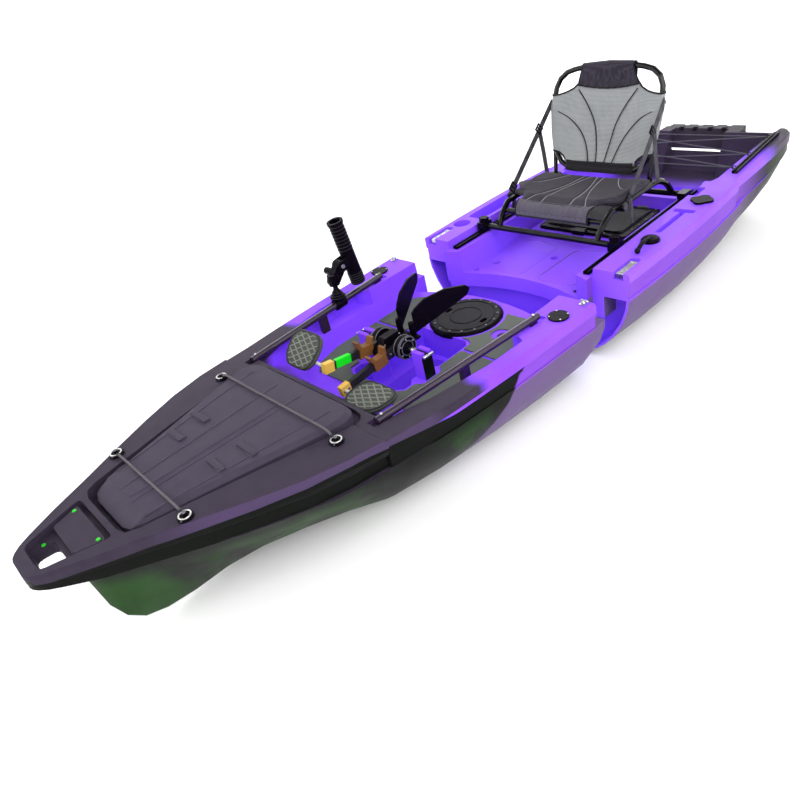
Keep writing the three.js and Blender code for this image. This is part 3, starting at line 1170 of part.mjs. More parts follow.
// Path of a side tube: place aft, inset from the track line and height
const runPlaces = [[180, 71, 23.4], [214, 67, 66], [254, 63, 96], [300, 61, 98], [557, 58, 98], [612, 50, 74],
  [650, 44, 23.4]];
const fromTrack = (side, depth) => side * (seatTrackY - depth);
const onLedge = (body) => moved(body, 0, 0, gunwaleLedge);
function baseFrame() {
  const trackTop = seatGap + trackHeight + seatGap;
  const runs = [-1, 1].map((side) => pipe(
    runPlaces.map(([x, depth, z]) => at(-x, fromTrack(side, depth), z)), seat.tube, 8, 20));
  const feet = [seat.barX, seat.rearX].flatMap((x) => [-1, 1].map((side) => block(-x - seat.footHalf,
    seat.footHalf - x, ...span(side, seatTrackY - seat.footWide, seatTrackY + seat.footWide), trackTop,
    x === seat.barX ? seat.footTop : seat.barZ + seat.tube)));
  const rod = (x, half, z, radius) => bar(at(-x, -half, z), at(-x, half, z), radius, 12);
  const body = join([
    ...runs, ...feet,
    rod(seat.barX, seatTrackY, seat.barZ, seat.tube), rod(seat.rearX, seatTrackY, seat.barZ, seat.tube),
    rod(seat.frontBarX, seatTrackY - inset.rise, seat.frontBarZ, seat.frontBar),
    ...[-1, 1].flatMap((side) => [
      bar(at(-seat.hingeX, fromTrack(side, inset.studIn), seat.sideZ),
        at(-seat.hingeX, fromTrack(side, inset.studOut), seat.sideZ), seat.stud, 12),
      block(-seat.tabX - seat.tab, seat.tab - seat.tabX,
        ...span(side, seatTrackY - inset.shoulder, seatTrackY - inset.tab), seat.sideZ - seat.tab,
        seat.sideZ + seat.tab),
    ]),
  ]);
  return onLedge(cut(body, [-1, 1].map((side) => disc(-seat.barX, side * seatTrackY, seat.footTop - seat.knobDepth,
    overrun, seat.knobStem + pinClearance, 12))));
}
const knobLobes = 6;
function knobBody(side) {
  const outline = [];
  for (let k = 0; k < capSteps; k += 1) {
    const turn = (2 * Math.PI * k) / capSteps;
    const reach = seat.knob * (1 + capLobeShare * Math.cos(turn * knobLobes));
    outline.push([reach * Math.cos(turn) - seat.barX, reach * Math.sin(turn) + side * seatTrackY]);
  }
  const low = seat.footTop + seatGap;
  return onLedge(join([
    prism(outline, low, low + seat.knobHeight),
    disc(-seat.barX, side * seatTrackY, low - seat.knobDepth + tuck, low + tuck, seat.knobStem, 12),
  ]));
}
// Pad: place aft, inset of its edge, underside height, sag and thickness
const padPlaces = [[217, 128, 66, 0, 10], [224, 126, 85, 1, 12], [250, 122, 98, 4, 13], [282, 110, 109, 8, 14],
  [294, 82, 111, 9, 14], [306, 50, 111, 11, 14], [400, 44, 113, 16, 15], [480, 46, 113, 14, 15],
  [530, 54, 111, 8, 11]];
const padSteps = 8;
function padBody() {
  const rings = padPlaces.map(([x, depth, low, sag, thick]) => {
    const row = (lift) => {
      const points = [];
      for (let k = 0; k <= padSteps; k += 1) {
        const share = (2 * k) / padSteps - 1;
        points.push(at(-x, share * (seatTrackY - depth), low + lift - sag * (1 - share * share)));
      }
      return points;
    };
    return [...row(0), ...row(thick).reverse()];
  });
  return onLedge(loft(rings));
}
// Back loop on its port side: place aft, inset and height of the tube centre, with its middle points apart
const backLoop = [[541, 166, 136], [546, 118, 146], [556, 86, 190], [574, 70, 260], [598, 60, 350],
  [622, 68, 426], [634, 108, 464], [640, 186, 478]];
const backMiddle = { lowX: 541, lowZ: 136, topX: 642, topZ: 482 };
const backTube = 10;
const backHollow = 26;
function loopPoints() {
  const port = backLoop.map(([x, depth, z]) => at(-x, fromTrack(1, depth), z));
  const starboard = backLoop.map(([x, depth, z]) => at(-x, fromTrack(-1, depth), z)).reverse();
  return [at(-backMiddle.lowX, 0, backMiddle.lowZ), ...port, at(-backMiddle.topX, 0, backMiddle.topZ), ...starboard];
}
const loopTension = 0.4;
function backFrame() {
  const path = new THREE.CatmullRomCurve3(loopPoints(), true, 'catmullrom', loopTension);
  const legs = [-1, 1].flatMap((side) => [
    bar(at(-seat.legX, fromTrack(side, inset.legTop), seat.legZ),
      at(-seat.hingeX, fromTrack(side, inset.legFoot), seat.sideZ), seat.leg, 10),
    bar(at(-seat.hingeX, fromTrack(side, inset.lugIn), seat.sideZ),
      at(-seat.hingeX, fromTrack(side, inset.lugOut), seat.sideZ), seat.lug, 16),
  ]);
  return onLedge(cut(join([closedPipe(path, backTube, 8, 40), ...legs]), [bar(at(-seat.hingeX, -overrun, seat.sideZ),
    at(-seat.hingeX, overrun, seat.sideZ), seat.stud + pinClearance, 12)]));
}
// Mesh: place aft, inset of its edge, height and hollow
const meshPlaces = [[541, 164, 146.4, 3], [545, 134, 156, 8], [555, 104, 192, 18], [572, 88, 260, backHollow],
  [596, 78, 350, backHollow], [619, 86, 422, 22], [630, 120, 451, 12], [636, 192, 467, 4]];
const meshThick = 5;
function meshBody() {
  const rings = meshPlaces.map(([x, depth, z, hollow]) => {
    const row = (shift) => {
      const points = [];
      for (let k = 0; k <= padSteps; k += 1) {
        const share = (2 * k) / padSteps - 1;
        points.push(at(shift - x - hollow * (1 - share * share), share * (seatTrackY - depth), z));
      }
      return points;
    };
    return [...row(0), ...row(meshThick).reverse()];
  });
  return onLedge(loft(rings));
}
const strap = { wide: 25, thick: 2.4, lowX: 300, lowInset: 33, lowZ: 94, topX: 604, topInset: 50, topZ: 368 };
function strapBody(side) {
  const from = at(-strap.lowX, side * (seatTrackY - strap.lowInset + strap.thick), strap.lowZ);
  const to = at(-strap.topX, side * (seatTrackY - strap.topInset + strap.thick), strap.topZ);
  const along = to.clone().sub(from);
  const across = along.clone().cross(at(0, 1, 0)).normalize().multiplyScalar(strap.wide / 2);
  const out = at(0, strap.thick / 2, 0);
  const ring = (middle) => [
    middle.clone().add(across).add(out), middle.clone().add(across).sub(out),
    middle.clone().sub(across).sub(out), middle.clone().sub(across).add(out),
  ];
  return onLedge(loft([ring(from), ring(from.clone().lerp(to, 0.5)), ring(to)]));
}

// The row: front section, then rear section behind the gap
const group = new THREE.Group();
const front = new THREE.Group();
const rear = new THREE.Group();
front.position.x = (frontLength + restGap + rearLength) / 2 - frontLength;
rear.position.x = front.position.x - restGap;
group.add(front, rear);

part(front, 'front_hull', frontHull(), hullPurple);
part(front, 'bow_hatch_lid', bowLid(), bowCharcoal);
cleatPlaces.forEach(([x, y], k) => {
  const row = k === 0 ? 'front' : 'rear';
  for (const [name, side] of sides) part(front, `bow_cleat_${row}_${name}`, cleatBody(x, side * y), blackPlastic);
  part(front, `bow_cord_${row}`, bowCord([x, y]), cordGrey);
});
part(front, 'front_hatch_lid', moved(roundLid(hatchRadius, hatchSeat + seatGap, hatchHeight, bucketRadius - play),
  hatchX, 0, 0), blackPlastic);
for (const [name, side] of sides) {
  part(front, `front_rail_${name}`, railBody(side), railPurple);
  part(front, `mat_aft_${name}`, matBody(side, 0, mat.split - mat.gap / 2), foamGrey);
  part(front, `mat_front_${name}`, matBody(side, mat.split + mat.gap / 2, frontLength), foamGrey);
  part(front, `front_insert_${name}`, insertBody(side), blackPlastic);
  part(front, `latch_strike_${name}`, strikeBody(side), steel);
  part(front, `crank_arm_${name}`, armBody(side), blackPlastic);
  part(front, `pedal_clip_${name}`, clipBody(side), brownClip);
  part(front, `pedal_${name}`, pedalBody(side), padGrey);
  part(front, `fin_${name}`, finBody(side), blackPlastic);
}
part(front, 'drive_spine', spineBody(), blackPlastic);
part(front, 'holder_base', holderBase(), blackPlastic);
part(front, 'holder_arm', holderArm(), blackPlastic);
part(front, 'holder_knob', holderKnob(), blackPlastic);
part(front, 'holder_tube', holderTube(), blackPlastic);

part(rear, 'rear_hull', rearHull(), hullViolet);
part(rear, 'rect_hatch_lid', rectLidBody(), blackPlastic);
part(rear, 'rect_hatch_latch', lidLatchBody(), blackPlastic);
part(rear, 'rear_hatch_lid', lobedLid(), bowCharcoal);
part(rear, 'tank_lacing', lacingBody(), cordGrey);
part(rear, 'rudder_lever', leverBody(), blackPlastic);
part(rear, 'rudder_blade', rudderBody(), blackPlastic);
const aftRun = Math.hypot(aftTrackBack[0] - aftTrackFront[0], aftTrackBack[1] - aftTrackFront[1]);
const aftTurn = THREE.MathUtils.radToDeg(Math.atan2(aftTrackFront[1] - aftTrackBack[1],
  aftTrackBack[0] - aftTrackFront[0]));
for (const [name, side] of sides) {
  const seatTrack = moved(trackBody(seatTrackEnds[1] - seatTrackEnds[0]), -seatTrackEnds[1], side * seatTrackY,
    gunwaleLedge + seatGap);
  const aftTrack = moved(trackBody(aftRun).rotate([0, 0, side * aftTurn]), -aftTrackBack[0],
    side * aftTrackBack[1], seatOn(rearDeckTop, -aftTrackBack[0], -aftTrackFront[0]));
  const insertSeat = seatOn(rearDeckTop, -insertX - capRadius, capRadius - insertX);
  part(rear, `seat_track_${name}`, seatTrack, blackPlastic);
  part(rear, `aft_track_${name}`, aftTrack, blackPlastic);
  part(rear, `rear_insert_${name}`, capBody(-insertX, side * insertY, insertSeat, insertBore, insertDepth / 2),
    blackPlastic);
  part(rear, `stern_handle_${name}`, carryBody(side), blackPlastic);
  part(rear, `section_latch_${name}`, latchBody(side), steel);
  part(rear, `seat_knob_${name}`, knobBody(side), blackPlastic);
  part(rear, `seat_strap_${name}`, strapBody(side), fabricDark);
}
part(rear, 'seat_base_frame', baseFrame(), frameBlack);
part(rear, 'seat_pad', padBody(), fabricDark);
part(rear, 'seat_back_frame', backFrame(), frameBlack);
part(rear, 'seat_back_mesh', meshBody(), meshGrey);

export default group;
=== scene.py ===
# Two-piece pedal kayak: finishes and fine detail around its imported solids
import json
import math

import bmesh
import bpy
from mathutils import Matrix, Vector
from mathutils.bvhtree import BVHTree
from mathutils.kdtree import KDTree


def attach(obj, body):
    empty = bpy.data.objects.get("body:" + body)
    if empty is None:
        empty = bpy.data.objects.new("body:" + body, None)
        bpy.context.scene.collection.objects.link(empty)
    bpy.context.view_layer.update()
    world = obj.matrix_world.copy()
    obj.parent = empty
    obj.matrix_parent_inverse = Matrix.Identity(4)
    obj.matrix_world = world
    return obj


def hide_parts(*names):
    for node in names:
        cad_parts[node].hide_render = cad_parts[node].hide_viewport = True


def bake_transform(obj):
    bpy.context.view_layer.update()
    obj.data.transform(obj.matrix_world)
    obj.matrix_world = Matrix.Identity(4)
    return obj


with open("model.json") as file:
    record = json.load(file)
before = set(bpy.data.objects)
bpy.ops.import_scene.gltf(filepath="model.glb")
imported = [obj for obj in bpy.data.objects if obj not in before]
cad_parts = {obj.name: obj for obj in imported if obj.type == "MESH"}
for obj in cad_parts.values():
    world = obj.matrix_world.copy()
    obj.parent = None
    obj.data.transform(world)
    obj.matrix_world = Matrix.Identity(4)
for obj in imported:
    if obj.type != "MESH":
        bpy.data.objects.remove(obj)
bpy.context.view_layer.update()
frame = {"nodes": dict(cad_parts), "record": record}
nodes = frame["nodes"]
body_of = {node: body for body, members in frame["record"]["behaviour"]["bodies"].items() for node in members}
slot_of = {part["node"]: part["material_slot"] for part in frame["record"]["subparts"]}
SIDES = (("port", 1), ("starboard", -1))
FRONT_X, REAR_X = 0.0775, -0.1025
UP = (0, 0, 1)


def front(x, y, z):
    return Vector((x / 1000 + FRONT_X, y / 1000, z / 1000))


def rear(x, y, z):
    return Vector((x / 1000 + REAR_X, y / 1000, z / 1000))


def tone(code):
    """Colour of a screen code as the shader wants it"""
    parts = [int(code[i:i + 2], 16) / 255 for i in (1, 3, 5)]
    return tuple(c / 12.92 if c <= 0.04045 else ((c + 0.055) / 1.055) ** 2.4 for c in parts) + (1.0,)


class Finish:
    """A material built from nodes, with short names for what this kayak needs"""

    def __init__(self, name):
        self.material = bpy.data.materials.new(name)
        self.material.use_nodes = True
        self.tree = self.material.node_tree
        self.shader = self.tree.nodes["Principled BSDF"]
        self.spot = None
        self.edge = None

    def node(self, kind, **settings):
        made = self.tree.nodes.new(kind)
        for key, value in settings.items():
            setattr(made, key, value)
        return made

    def plug(self, socket, value):
        if isinstance(value, bpy.types.NodeSocket):
            self.tree.links.new(value, socket)
        elif isinstance(value, str):
            socket.default_value = tone(value)
        else:
            socket.default_value = value

    def coordinates(self):
        if self.spot is None:
            self.spot = self.node("ShaderNodeTexCoord")
        return self.spot

    def place(self, stretch=None):
        socket = self.coordinates().outputs["Object"]
        if stretch is None:
            return socket
        mapping = self.node("ShaderNodeMapping")
        self.tree.links.new(socket, mapping.inputs["Vector"])
        mapping.inputs["Scale"].default_value = stretch
        return mapping.outputs["Vector"]

    def split(self, socket=None):
        made = self.node("ShaderNodeSeparateXYZ")
        self.tree.links.new(socket or self.place(), made.inputs[0])
        return made.outputs

    def facing(self):
        return self.split(self.coordinates().outputs["Normal"])

    def calc(self, kind, *values):
        made = self.node("ShaderNodeMath", operation=kind)
        for socket, value in zip(made.inputs, values):
            self.plug(socket, value)
        return made.outputs[0]

    def ease(self, value, low, high):
        made = self.node("ShaderNodeMapRange", interpolation_type="SMOOTHSTEP")
        self.plug(made.inputs["Value"], value)
        made.inputs["From Min"].default_value = low
        made.inputs["From Max"].default_value = high
        return made.outputs["Result"]

    def cloud(self, scale, detail=3.0, rough=0.55, stretch=None):
        made = self.node("ShaderNodeTexNoise")
        self.tree.links.new(self.place(stretch), made.inputs["Vector"])
        made.inputs["Scale"].default_value = scale
        made.inputs["Detail"].default_value = detail
        made.inputs["Roughness"].default_value = rough
        return made.outputs["Fac"]

    def waves(self, scale, direction, distortion=0.4):
        made = self.node("ShaderNodeTexWave", bands_direction=direction, wave_profile="SIN")
        self.tree.links.new(self.place(), made.inputs["Vector"])
        made.inputs["Scale"].default_value = scale
        made.inputs["Distortion"].default_value = distortion
        return made.outputs["Fac"]

    def mix(self, share, low, high):
        made = self.node("ShaderNodeMix", data_type="RGBA")
        self.plug(made.inputs[0], share)
        self.plug(made.inputs[6], low)
        self.plug(made.inputs[7], high)
        return made.outputs[2]

    def span(self, share, low, high):
        made = self.node("ShaderNodeMix", data_type="FLOAT")
        self.plug(made.inputs[0], share)
        made.inputs[2].default_value = low
        made.inputs[3].default_value = high
        return made.outputs[0]

    def soften(self, radius):
        self.edge = self.node("ShaderNodeBevel", samples=4)
        self.edge.inputs["Radius"].default_value = radius
        self.tree.links.new(self.edge.outputs[0], self.shader.inputs["Normal"])

    def bump(self, height, strength, distance):
        made = self.node("ShaderNodeBump")
        self.plug(made.inputs["Height"], height)
        made.inputs["Strength"].default_value = strength
        made.inputs["Distance"].default_value = distance
        if self.edge is not None:
            self.tree.links.new(self.edge.outputs[0], made.inputs["Normal"])
        self.tree.links.new(made.outputs[0], self.shader.inputs["Normal"])
        self.edge = made

    def set(self, base, rough, sheen=None, specular=None):
        names = {"Base Color": base, "Roughness": rough, "Sheen Weight": sheen, "Specular IOR Level": specular}
        for name, value in names.items():
            if value is None:
                continue
            if isinstance(value, tuple) and len(value) == 3:
                value = (*value, 1.0)
            self.plug(self.shader.inputs[name], value)
        return self


def moulded(name, base, rough=(0.34, 0.5), grain=0.25, edge=0.0016, specular=0.16):
    """Rotomoulded or injected plastic with a fine grain and uneven gloss"""
    paint = Finish(name)
    paint.soften(edge)
    fine = paint.cloud(900, 2.0)
    paint.bump(fine, grain, 0.0004)
    worn = paint.cloud(14, 4.0)
    shade = base(paint) if callable(base) else paint.mix(paint.cloud(5, 3.0), base, darker(base))
    paint.set(base=shade, rough=paint.span(worn, *rough), specular=specular)
    return paint.material


def darker(code, share=0.8):
    return "#" + "".join(f"{int(int(code[i:i + 2], 16) * share):02x}" for i in (1, 3, 5))


def front_hull_colour(paint):
    x, y, z = paint.split()
    nx, ny, nz = paint.facing()
    drift = paint.calc("MULTIPLY", paint.calc("SUBTRACT", paint.cloud(9, 4.0), 0.5), 0.09)
    purple = paint.mix(paint.cloud(3.2, 3.0), "#7433f6", "#8a52fb")
    plum = paint.mix(paint.cloud(24, 4.0), "#38303f", "#29232f")
    # Deck turns from purple to plum further forward on starboard, and further still inside the cockpit
    aft = paint.calc("MULTIPLY_ADD", y, 0.0875, x)
    low = paint.calc("LESS_THAN", z, 0.305)
    aft = paint.calc("MULTIPLY_ADD", low, -0.14, paint.calc("ADD", aft, drift))
    deck = paint.mix(paint.ease(aft, 0.535, 0.595), purple, plum)
    # Outer side: black band forward, purple band aft, grey and dark green below
    out = paint.calc("MULTIPLY", ny, paint.calc("SIGN", y))
    sheer = paint.span(paint.ease(x, 0.6, 0.95), 0.296, 0.331)
    # Painted highlight: outward-slanted chamfer faces on the bow, between x 0.66 and 1.36, are painted a lighter plum
    # (#413450)
    facet_highlight = paint.calc("MULTIPLY", paint.ease(out, 0.3, 0.5), paint.ease(x, 0.66, 0.72))
    facet_highlight = paint.calc("MULTIPLY", facet_highlight, paint.ease(x, 1.36, 1.2))
    deck = paint.mix(facet_highlight, deck, "#413450")
    outside = paint.calc("MULTIPLY", paint.ease(out, 0.2, 0.3), paint.calc("LESS_THAN", z, sheer))
    wide = paint.calc("GREATER_THAN", paint.calc("ABSOLUTE", y), 0.375)
    ledge = paint.calc("MULTIPLY", paint.calc("LESS_THAN", z, 0.28), wide)
    outside = paint.calc("MAXIMUM", outside, ledge)
    under = paint.calc("MAXIMUM", outside, paint.calc("LESS_THAN", nz, -0.05))
    slant = paint.calc("MULTIPLY_ADD", paint.calc("SUBTRACT", 0.25, z), -0.8, x)
    slant = paint.calc("MULTIPLY_ADD", drift, 0.3, slant)
    forward = paint.ease(slant, 0.428, 0.438)
    band = paint.calc("GREATER_THAN", z, 0.243)
    patches = paint.ease(paint.cloud(4.5, 4.0, stretch=(1.4, 1, 0.8)), 0.4, 0.6)
    green = paint.calc("MULTIPLY", patches, paint.ease(z, 0.26, 0.19))
    green = paint.calc("MULTIPLY", green, paint.ease(x, 0.42, 0.6))
    dark = paint.mix(green, "#0a0c0a", "#17390d")
    pale = paint.mix(band, "#5f4c75", paint.mix(paint.cloud(6, 3.0), "#6c3aae", "#7c46bd"))
    pale = paint.mix(paint.ease(z, 0.1, 0.0), pale, "#4c4658")
    side = paint.mix(forward, pale, dark)
    return paint.mix(under, deck, side)


def rear_hull_colour(paint):
    x, y, z = paint.split()
    nx, ny, nz = paint.facing()
    drift = paint.calc("MULTIPLY", paint.calc("SUBTRACT", paint.cloud(7, 4.0), 0.5), 0.12)
    along = paint.calc("ADD", x, drift)
    purple = paint.mix(paint.cloud(3.2, 3.0), "#7a39f7", "#9160fc")
    plum = paint.mix(paint.cloud(20, 4.0), "#3e3349", "#302838")
    deck = paint.mix(paint.ease(along, -1.12, -1.34), purple, plum)
    deck = paint.mix(paint.ease(along, -1.4, -1.5), deck, "#2a262f")
    out = paint.calc("MULTIPLY", ny, paint.calc("SIGN", y))
    outside = paint.calc("MULTIPLY", paint.ease(out, 0.2, 0.3), paint.calc("LESS_THAN", z, 0.3))
    under = paint.calc("MAXIMUM", outside, paint.calc("LESS_THAN", nz, -0.05))
    band = paint.calc("GREATER_THAN", z, 0.232)
    side = paint.mix(band, "#5f4c75", paint.mix(paint.cloud(6, 3.0), "#6c3aae", "#7c46bd"))
    side = paint.mix(paint.ease(z, 0.1, 0.0), side, "#494650")
    stern = paint.mix(paint.ease(paint.cloud(6, 4.0), 0.4, 0.6), "#18260f", "#100e14")
    side = paint.mix(paint.ease(along, -0.8, -1.25), side, stern)
    return paint.mix(under, deck, side)


def lid_colour(paint):
    return paint.mix(paint.cloud(30, 4.0), "#3e3746", "#332d3b")


def crank_colour(paint):
    """Black arm with a plain green label on one side and a gold bracket at its end"""
    x, y, z = paint.split()
    across = paint.calc("SUBTRACT", x, PIVOT.x)
    rise = paint.calc("SUBTRACT", z, PIVOT.z)
    squares = paint.calc("MULTIPLY", across, across), paint.calc("MULTIPLY", rise, rise)
    along = paint.calc("SQRT", paint.calc("ADD", *squares))
    wide = paint.calc("LESS_THAN", paint.calc("ABSOLUTE", y), 0.0372)
    gold = paint.calc("MULTIPLY", paint.calc("GREATER_THAN", along, 0.2035), wide)
    past, short = paint.calc("GREATER_THAN", along, 0.143), paint.calc("LESS_THAN", along, 0.196)
    label = paint.calc("MULTIPLY", past, short)
    label = paint.calc("MULTIPLY", label, paint.calc("LESS_THAN", y, 0.0))
    shade = paint.mix(label, paint.mix(paint.cloud(60, 3.0), "#1a181c", "#232026"), "#12cf1c")
    axle = paint.calc("GREATER_THAN", paint.calc("ABSOLUTE", y), 0.0372)
    shade = paint.mix(gold, shade, "#c9a24a")
    return paint.mix(axle, shade, "#b9b9b6")


PIVOT = front(405, 0, 300)


# Camera, light and floor
def set_camera():
    cam = bpy.data.cameras.new("view")
    cam.sensor_width = 36.0
    cam.lens = 29.745
    cam.shift_x = -0.0075
    cam.shift_y = -0.0603
    eye = bpy.data.objects.new("view", cam)
    bpy.context.scene.collection.objects.link(eye)
    right = (-0.69792, 0.68897, -0.19553)
    down = (0.48188, 0.24977, -0.83988)
    ahead = (-0.52982, -0.68039, -0.50632)
    turn = Matrix((right, [-c for c in down], [-c for c in ahead])).transposed()
    eye.matrix_world = Matrix.Translation((1.49889, 1.35589, 1.25495)) @ turn.to_4x4()
    bpy.context.scene.camera = eye


def area_light(name, place, aim, size, power):
    light = bpy.data.lights.new(name, "AREA")
    light.shape = "RECTANGLE"
    light.size, light.size_y = size
    light.energy = power
    lamp = bpy.data.objects.new(name, light)
    lamp.location = place
    lamp.rotation_mode = "QUATERNION"
    lamp.rotation_quaternion = (Vector(aim) - Vector(place)).to_track_quat("-Z", "Y")
    bpy.context.scene.collection.objects.link(lamp)


def set_studio():
    world = bpy.data.worlds.new("studio")
    world.use_nodes = True
    world.node_tree.nodes["Background"].inputs["Color"].default_value = (1, 1, 1, 1)
    world.node_tree.nodes["Background"].inputs["Strength"].default_value = 0.4
    bpy.context.scene.world = world
    area_light("key", (1.2, 2.6, 3.4), (0, 0, 0.2), (2.2, 2.2), 80)
    area_light("fill", (3.4, -1.6, 2.2), (0.4, 0, 0.2), (2.4, 1.6), 20)
    area_light("back", (-3.2, -2.2, 2.8), (-0.4, 0, 0.2), (2.4, 1.6), 26)
    bpy.context.scene.view_settings.view_transform = "Standard"
    bend = [(12 + 8 * math.sin(a), 8 - 8 * math.cos(a)) for a in (math.pi * k / 24 for k in range(13))]
    mesh = turned_mesh("floor", [(0, 0), (6, 0), *bend, (20, 30)], (0, 0, 0), sides=64)
    for polygon in mesh.polygons:
        polygon.use_smooth = True
    floor = bpy.data.objects.new("floor", mesh)
    bpy.context.scene.collection.objects.link(floor)
    paint = Finish("floor")
    paint.set(base=(0.95, 0.95, 0.95), rough=0.9)
    x, y, z = paint.split()
    squares = paint.calc("MULTIPLY", x, x), paint.calc("MULTIPLY", y, y)
    far = paint.calc("SQRT", paint.calc("ADD", *squares))
    glow = paint.calc("MULTIPLY", paint.ease(far, 1.4, 4.0), 0.56)
    paint.shader.inputs["Emission Color"].default_value = (1, 1, 1, 1)
    paint.plug(paint.shader.inputs["Emission Strength"], glow)
    mesh.materials.append(paint.material)


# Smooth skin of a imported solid
def skin(node, finish, angle=35):
    source = nodes[node]
    mesh = source.data.copy()
    mesh.materials.clear()
    mesh.materials.append(finish)
    form = bmesh.new()
    form.from_mesh(mesh)
    bmesh.ops.remove_doubles(form, verts=form.verts, dist=2e-6)
    limit = math.radians(angle)
    for face in form.faces:
        face.smooth = True
    for edge in form.edges:
        edge.smooth = edge.is_manifold and edge.calc_face_angle(0) < limit
    form.to_mesh(mesh)
    form.free()
    piece = bpy.data.objects.new(node + "_skin", mesh)
    bpy.context.scene.collection.objects.link(piece)
    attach(piece, body_of[node])
    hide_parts(node)
    return piece


# Piece of its own on a body
def piece(name, mesh, body, finish, slot, smooth=True):
    mesh.materials.clear()
    mesh.materials.append(finish)
    if smooth:
        for polygon in mesh.polygons:
            polygon.use_smooth = True
    made = bpy.data.objects.new(name, mesh)
    bpy.context.scene.collection.objects.link(made)
    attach(made, body)
    return made


# Mesh makers, all in metres in the row frame
def new_mesh(name, points, faces):
    mesh = bpy.data.meshes.new(name)
    mesh.from_pydata([tuple(p) for p in points], [], faces)
    mesh.update()
    return mesh


def outward(mesh, merge=1e-5):
    form = bmesh.new()
    form.from_mesh(mesh)
    bmesh.ops.remove_doubles(form, verts=form.verts, dist=merge)
    bmesh.ops.recalc_face_normals(form, faces=form.faces)
    form.to_mesh(mesh)
    form.free()
    return mesh


def smooth_path(points, count, closed=False):
    """Catmull-Rom points at even parameter steps"""
    points = [Vector(p) for p in points]
    total = len(points) if closed else len(points) - 1
    result = []
    steps = count if closed else count - 1
    for k in range(count):
        t = total * k / steps
        i = min(int(t), total - 1)
        t -= i

        def pick(j):
            return points[j % len(points)] if closed else points[max(0, min(len(points) - 1, j))]

        a, b, c, d = pick(i - 1), pick(i), pick(i + 1), pick(i + 2)
        result.append(0.5 * ((2 * b) + (c - a) * t + (2 * a - 5 * b + 4 * c - d) * t * t
                             + (3 * b - a - 3 * c + d) * t ** 3))
    return result


def sweep(name, path, section, closed=False, up=(0, 0, 1)):
    """Section of (across, up) pairs carried along a path, with closed ends"""
    rings, count = [], len(path)
    for k, point in enumerate(path):
        before = path[(k - 1) % count] if closed or k else path[k]
        after = path[(k + 1) % count] if closed or k + 1 < count else path[k]
        ahead = (after - before).normalized()
        side = ahead.cross(Vector(up))
        side = side.normalized() if side.length > 1e-6 else Vector((0, 1, 0))
        lift = side.cross(ahead)
        rings.append([point + side * a + lift * b for a, b in section])
    points = [p for ring in rings for p in ring]
    size, faces = len(section), []
    for k in range(count if closed else count - 1):
        for j in range(size):
            a, b = k * size + j, k * size + (j + 1) % size
            c, d = ((k + 1) % count) * size + j, ((k + 1) % count) * size + (j + 1) % size
            faces.append((a, c, d, b))
    if not closed:
        faces.append(tuple(range(size)))
        faces.append(tuple(reversed(range((count - 1) * size, count * size))))
    return outward(new_mesh(name, points, faces))


def ring_section(radius, sides=10, flat=1.0):
    turns = [2 * math.pi * k / sides for k in range(sides)]
    return [(radius * math.cos(a), radius * flat * math.sin(a)) for a in turns]


def band_section(width, thick):
    w, t = width / 2, thick / 2
    return [(-w, -t * 0.4), (-w * 0.96, -t), (w * 0.96, -t), (w, -t * 0.4),
            (w, t * 0.4), (w * 0.96, t), (-w * 0.96, t), (-w, t * 0.4)]


def turned_mesh(name, profile, centre, axis=(0, 0, 1), sides=32):
    """Closed turned form from (radius, height) pairs along an axis"""
    turn = Vector((0, 0, 1)).rotation_difference(Vector(axis)).to_matrix()
    points, faces, rows = [], [], []
    for radius, height in profile:
        if radius < 1e-7:
            rows.append([len(points)])
            points.append(Vector(centre) + turn @ Vector((0, 0, height)))
            continue
        rows.append(list(range(len(points), len(points) + sides)))
        for k in range(sides):
            a = 2 * math.pi * k / sides
            spoke = Vector((radius * math.cos(a), radius * math.sin(a), height))
            points.append(Vector(centre) + turn @ spoke)
    for low, high in zip(rows, rows[1:]):
        for k in range(sides):
            j = (k + 1) % sides
            face = [low[k % len(low)], low[j % len(low)], high[j % len(high)], high[k % len(high)]]
            face = list(dict.fromkeys(face))
            if len(face) > 2:
                faces.append(tuple(face))
    return outward(new_mesh(name, points, faces))


def joined(name, meshes):
    form = bmesh.new()
    for mesh in meshes:
        form.from_mesh(mesh)
    whole = bpy.data.meshes.new(name)
    form.to_mesh(whole)
    form.free()
    for mesh in meshes:
        bpy.data.meshes.remove(mesh)
    return whole


def group(name, parts, body, finish, slot):
    """Several small meshes as one piece"""
    return piece(name, joined(name, parts), body, finish, slot)


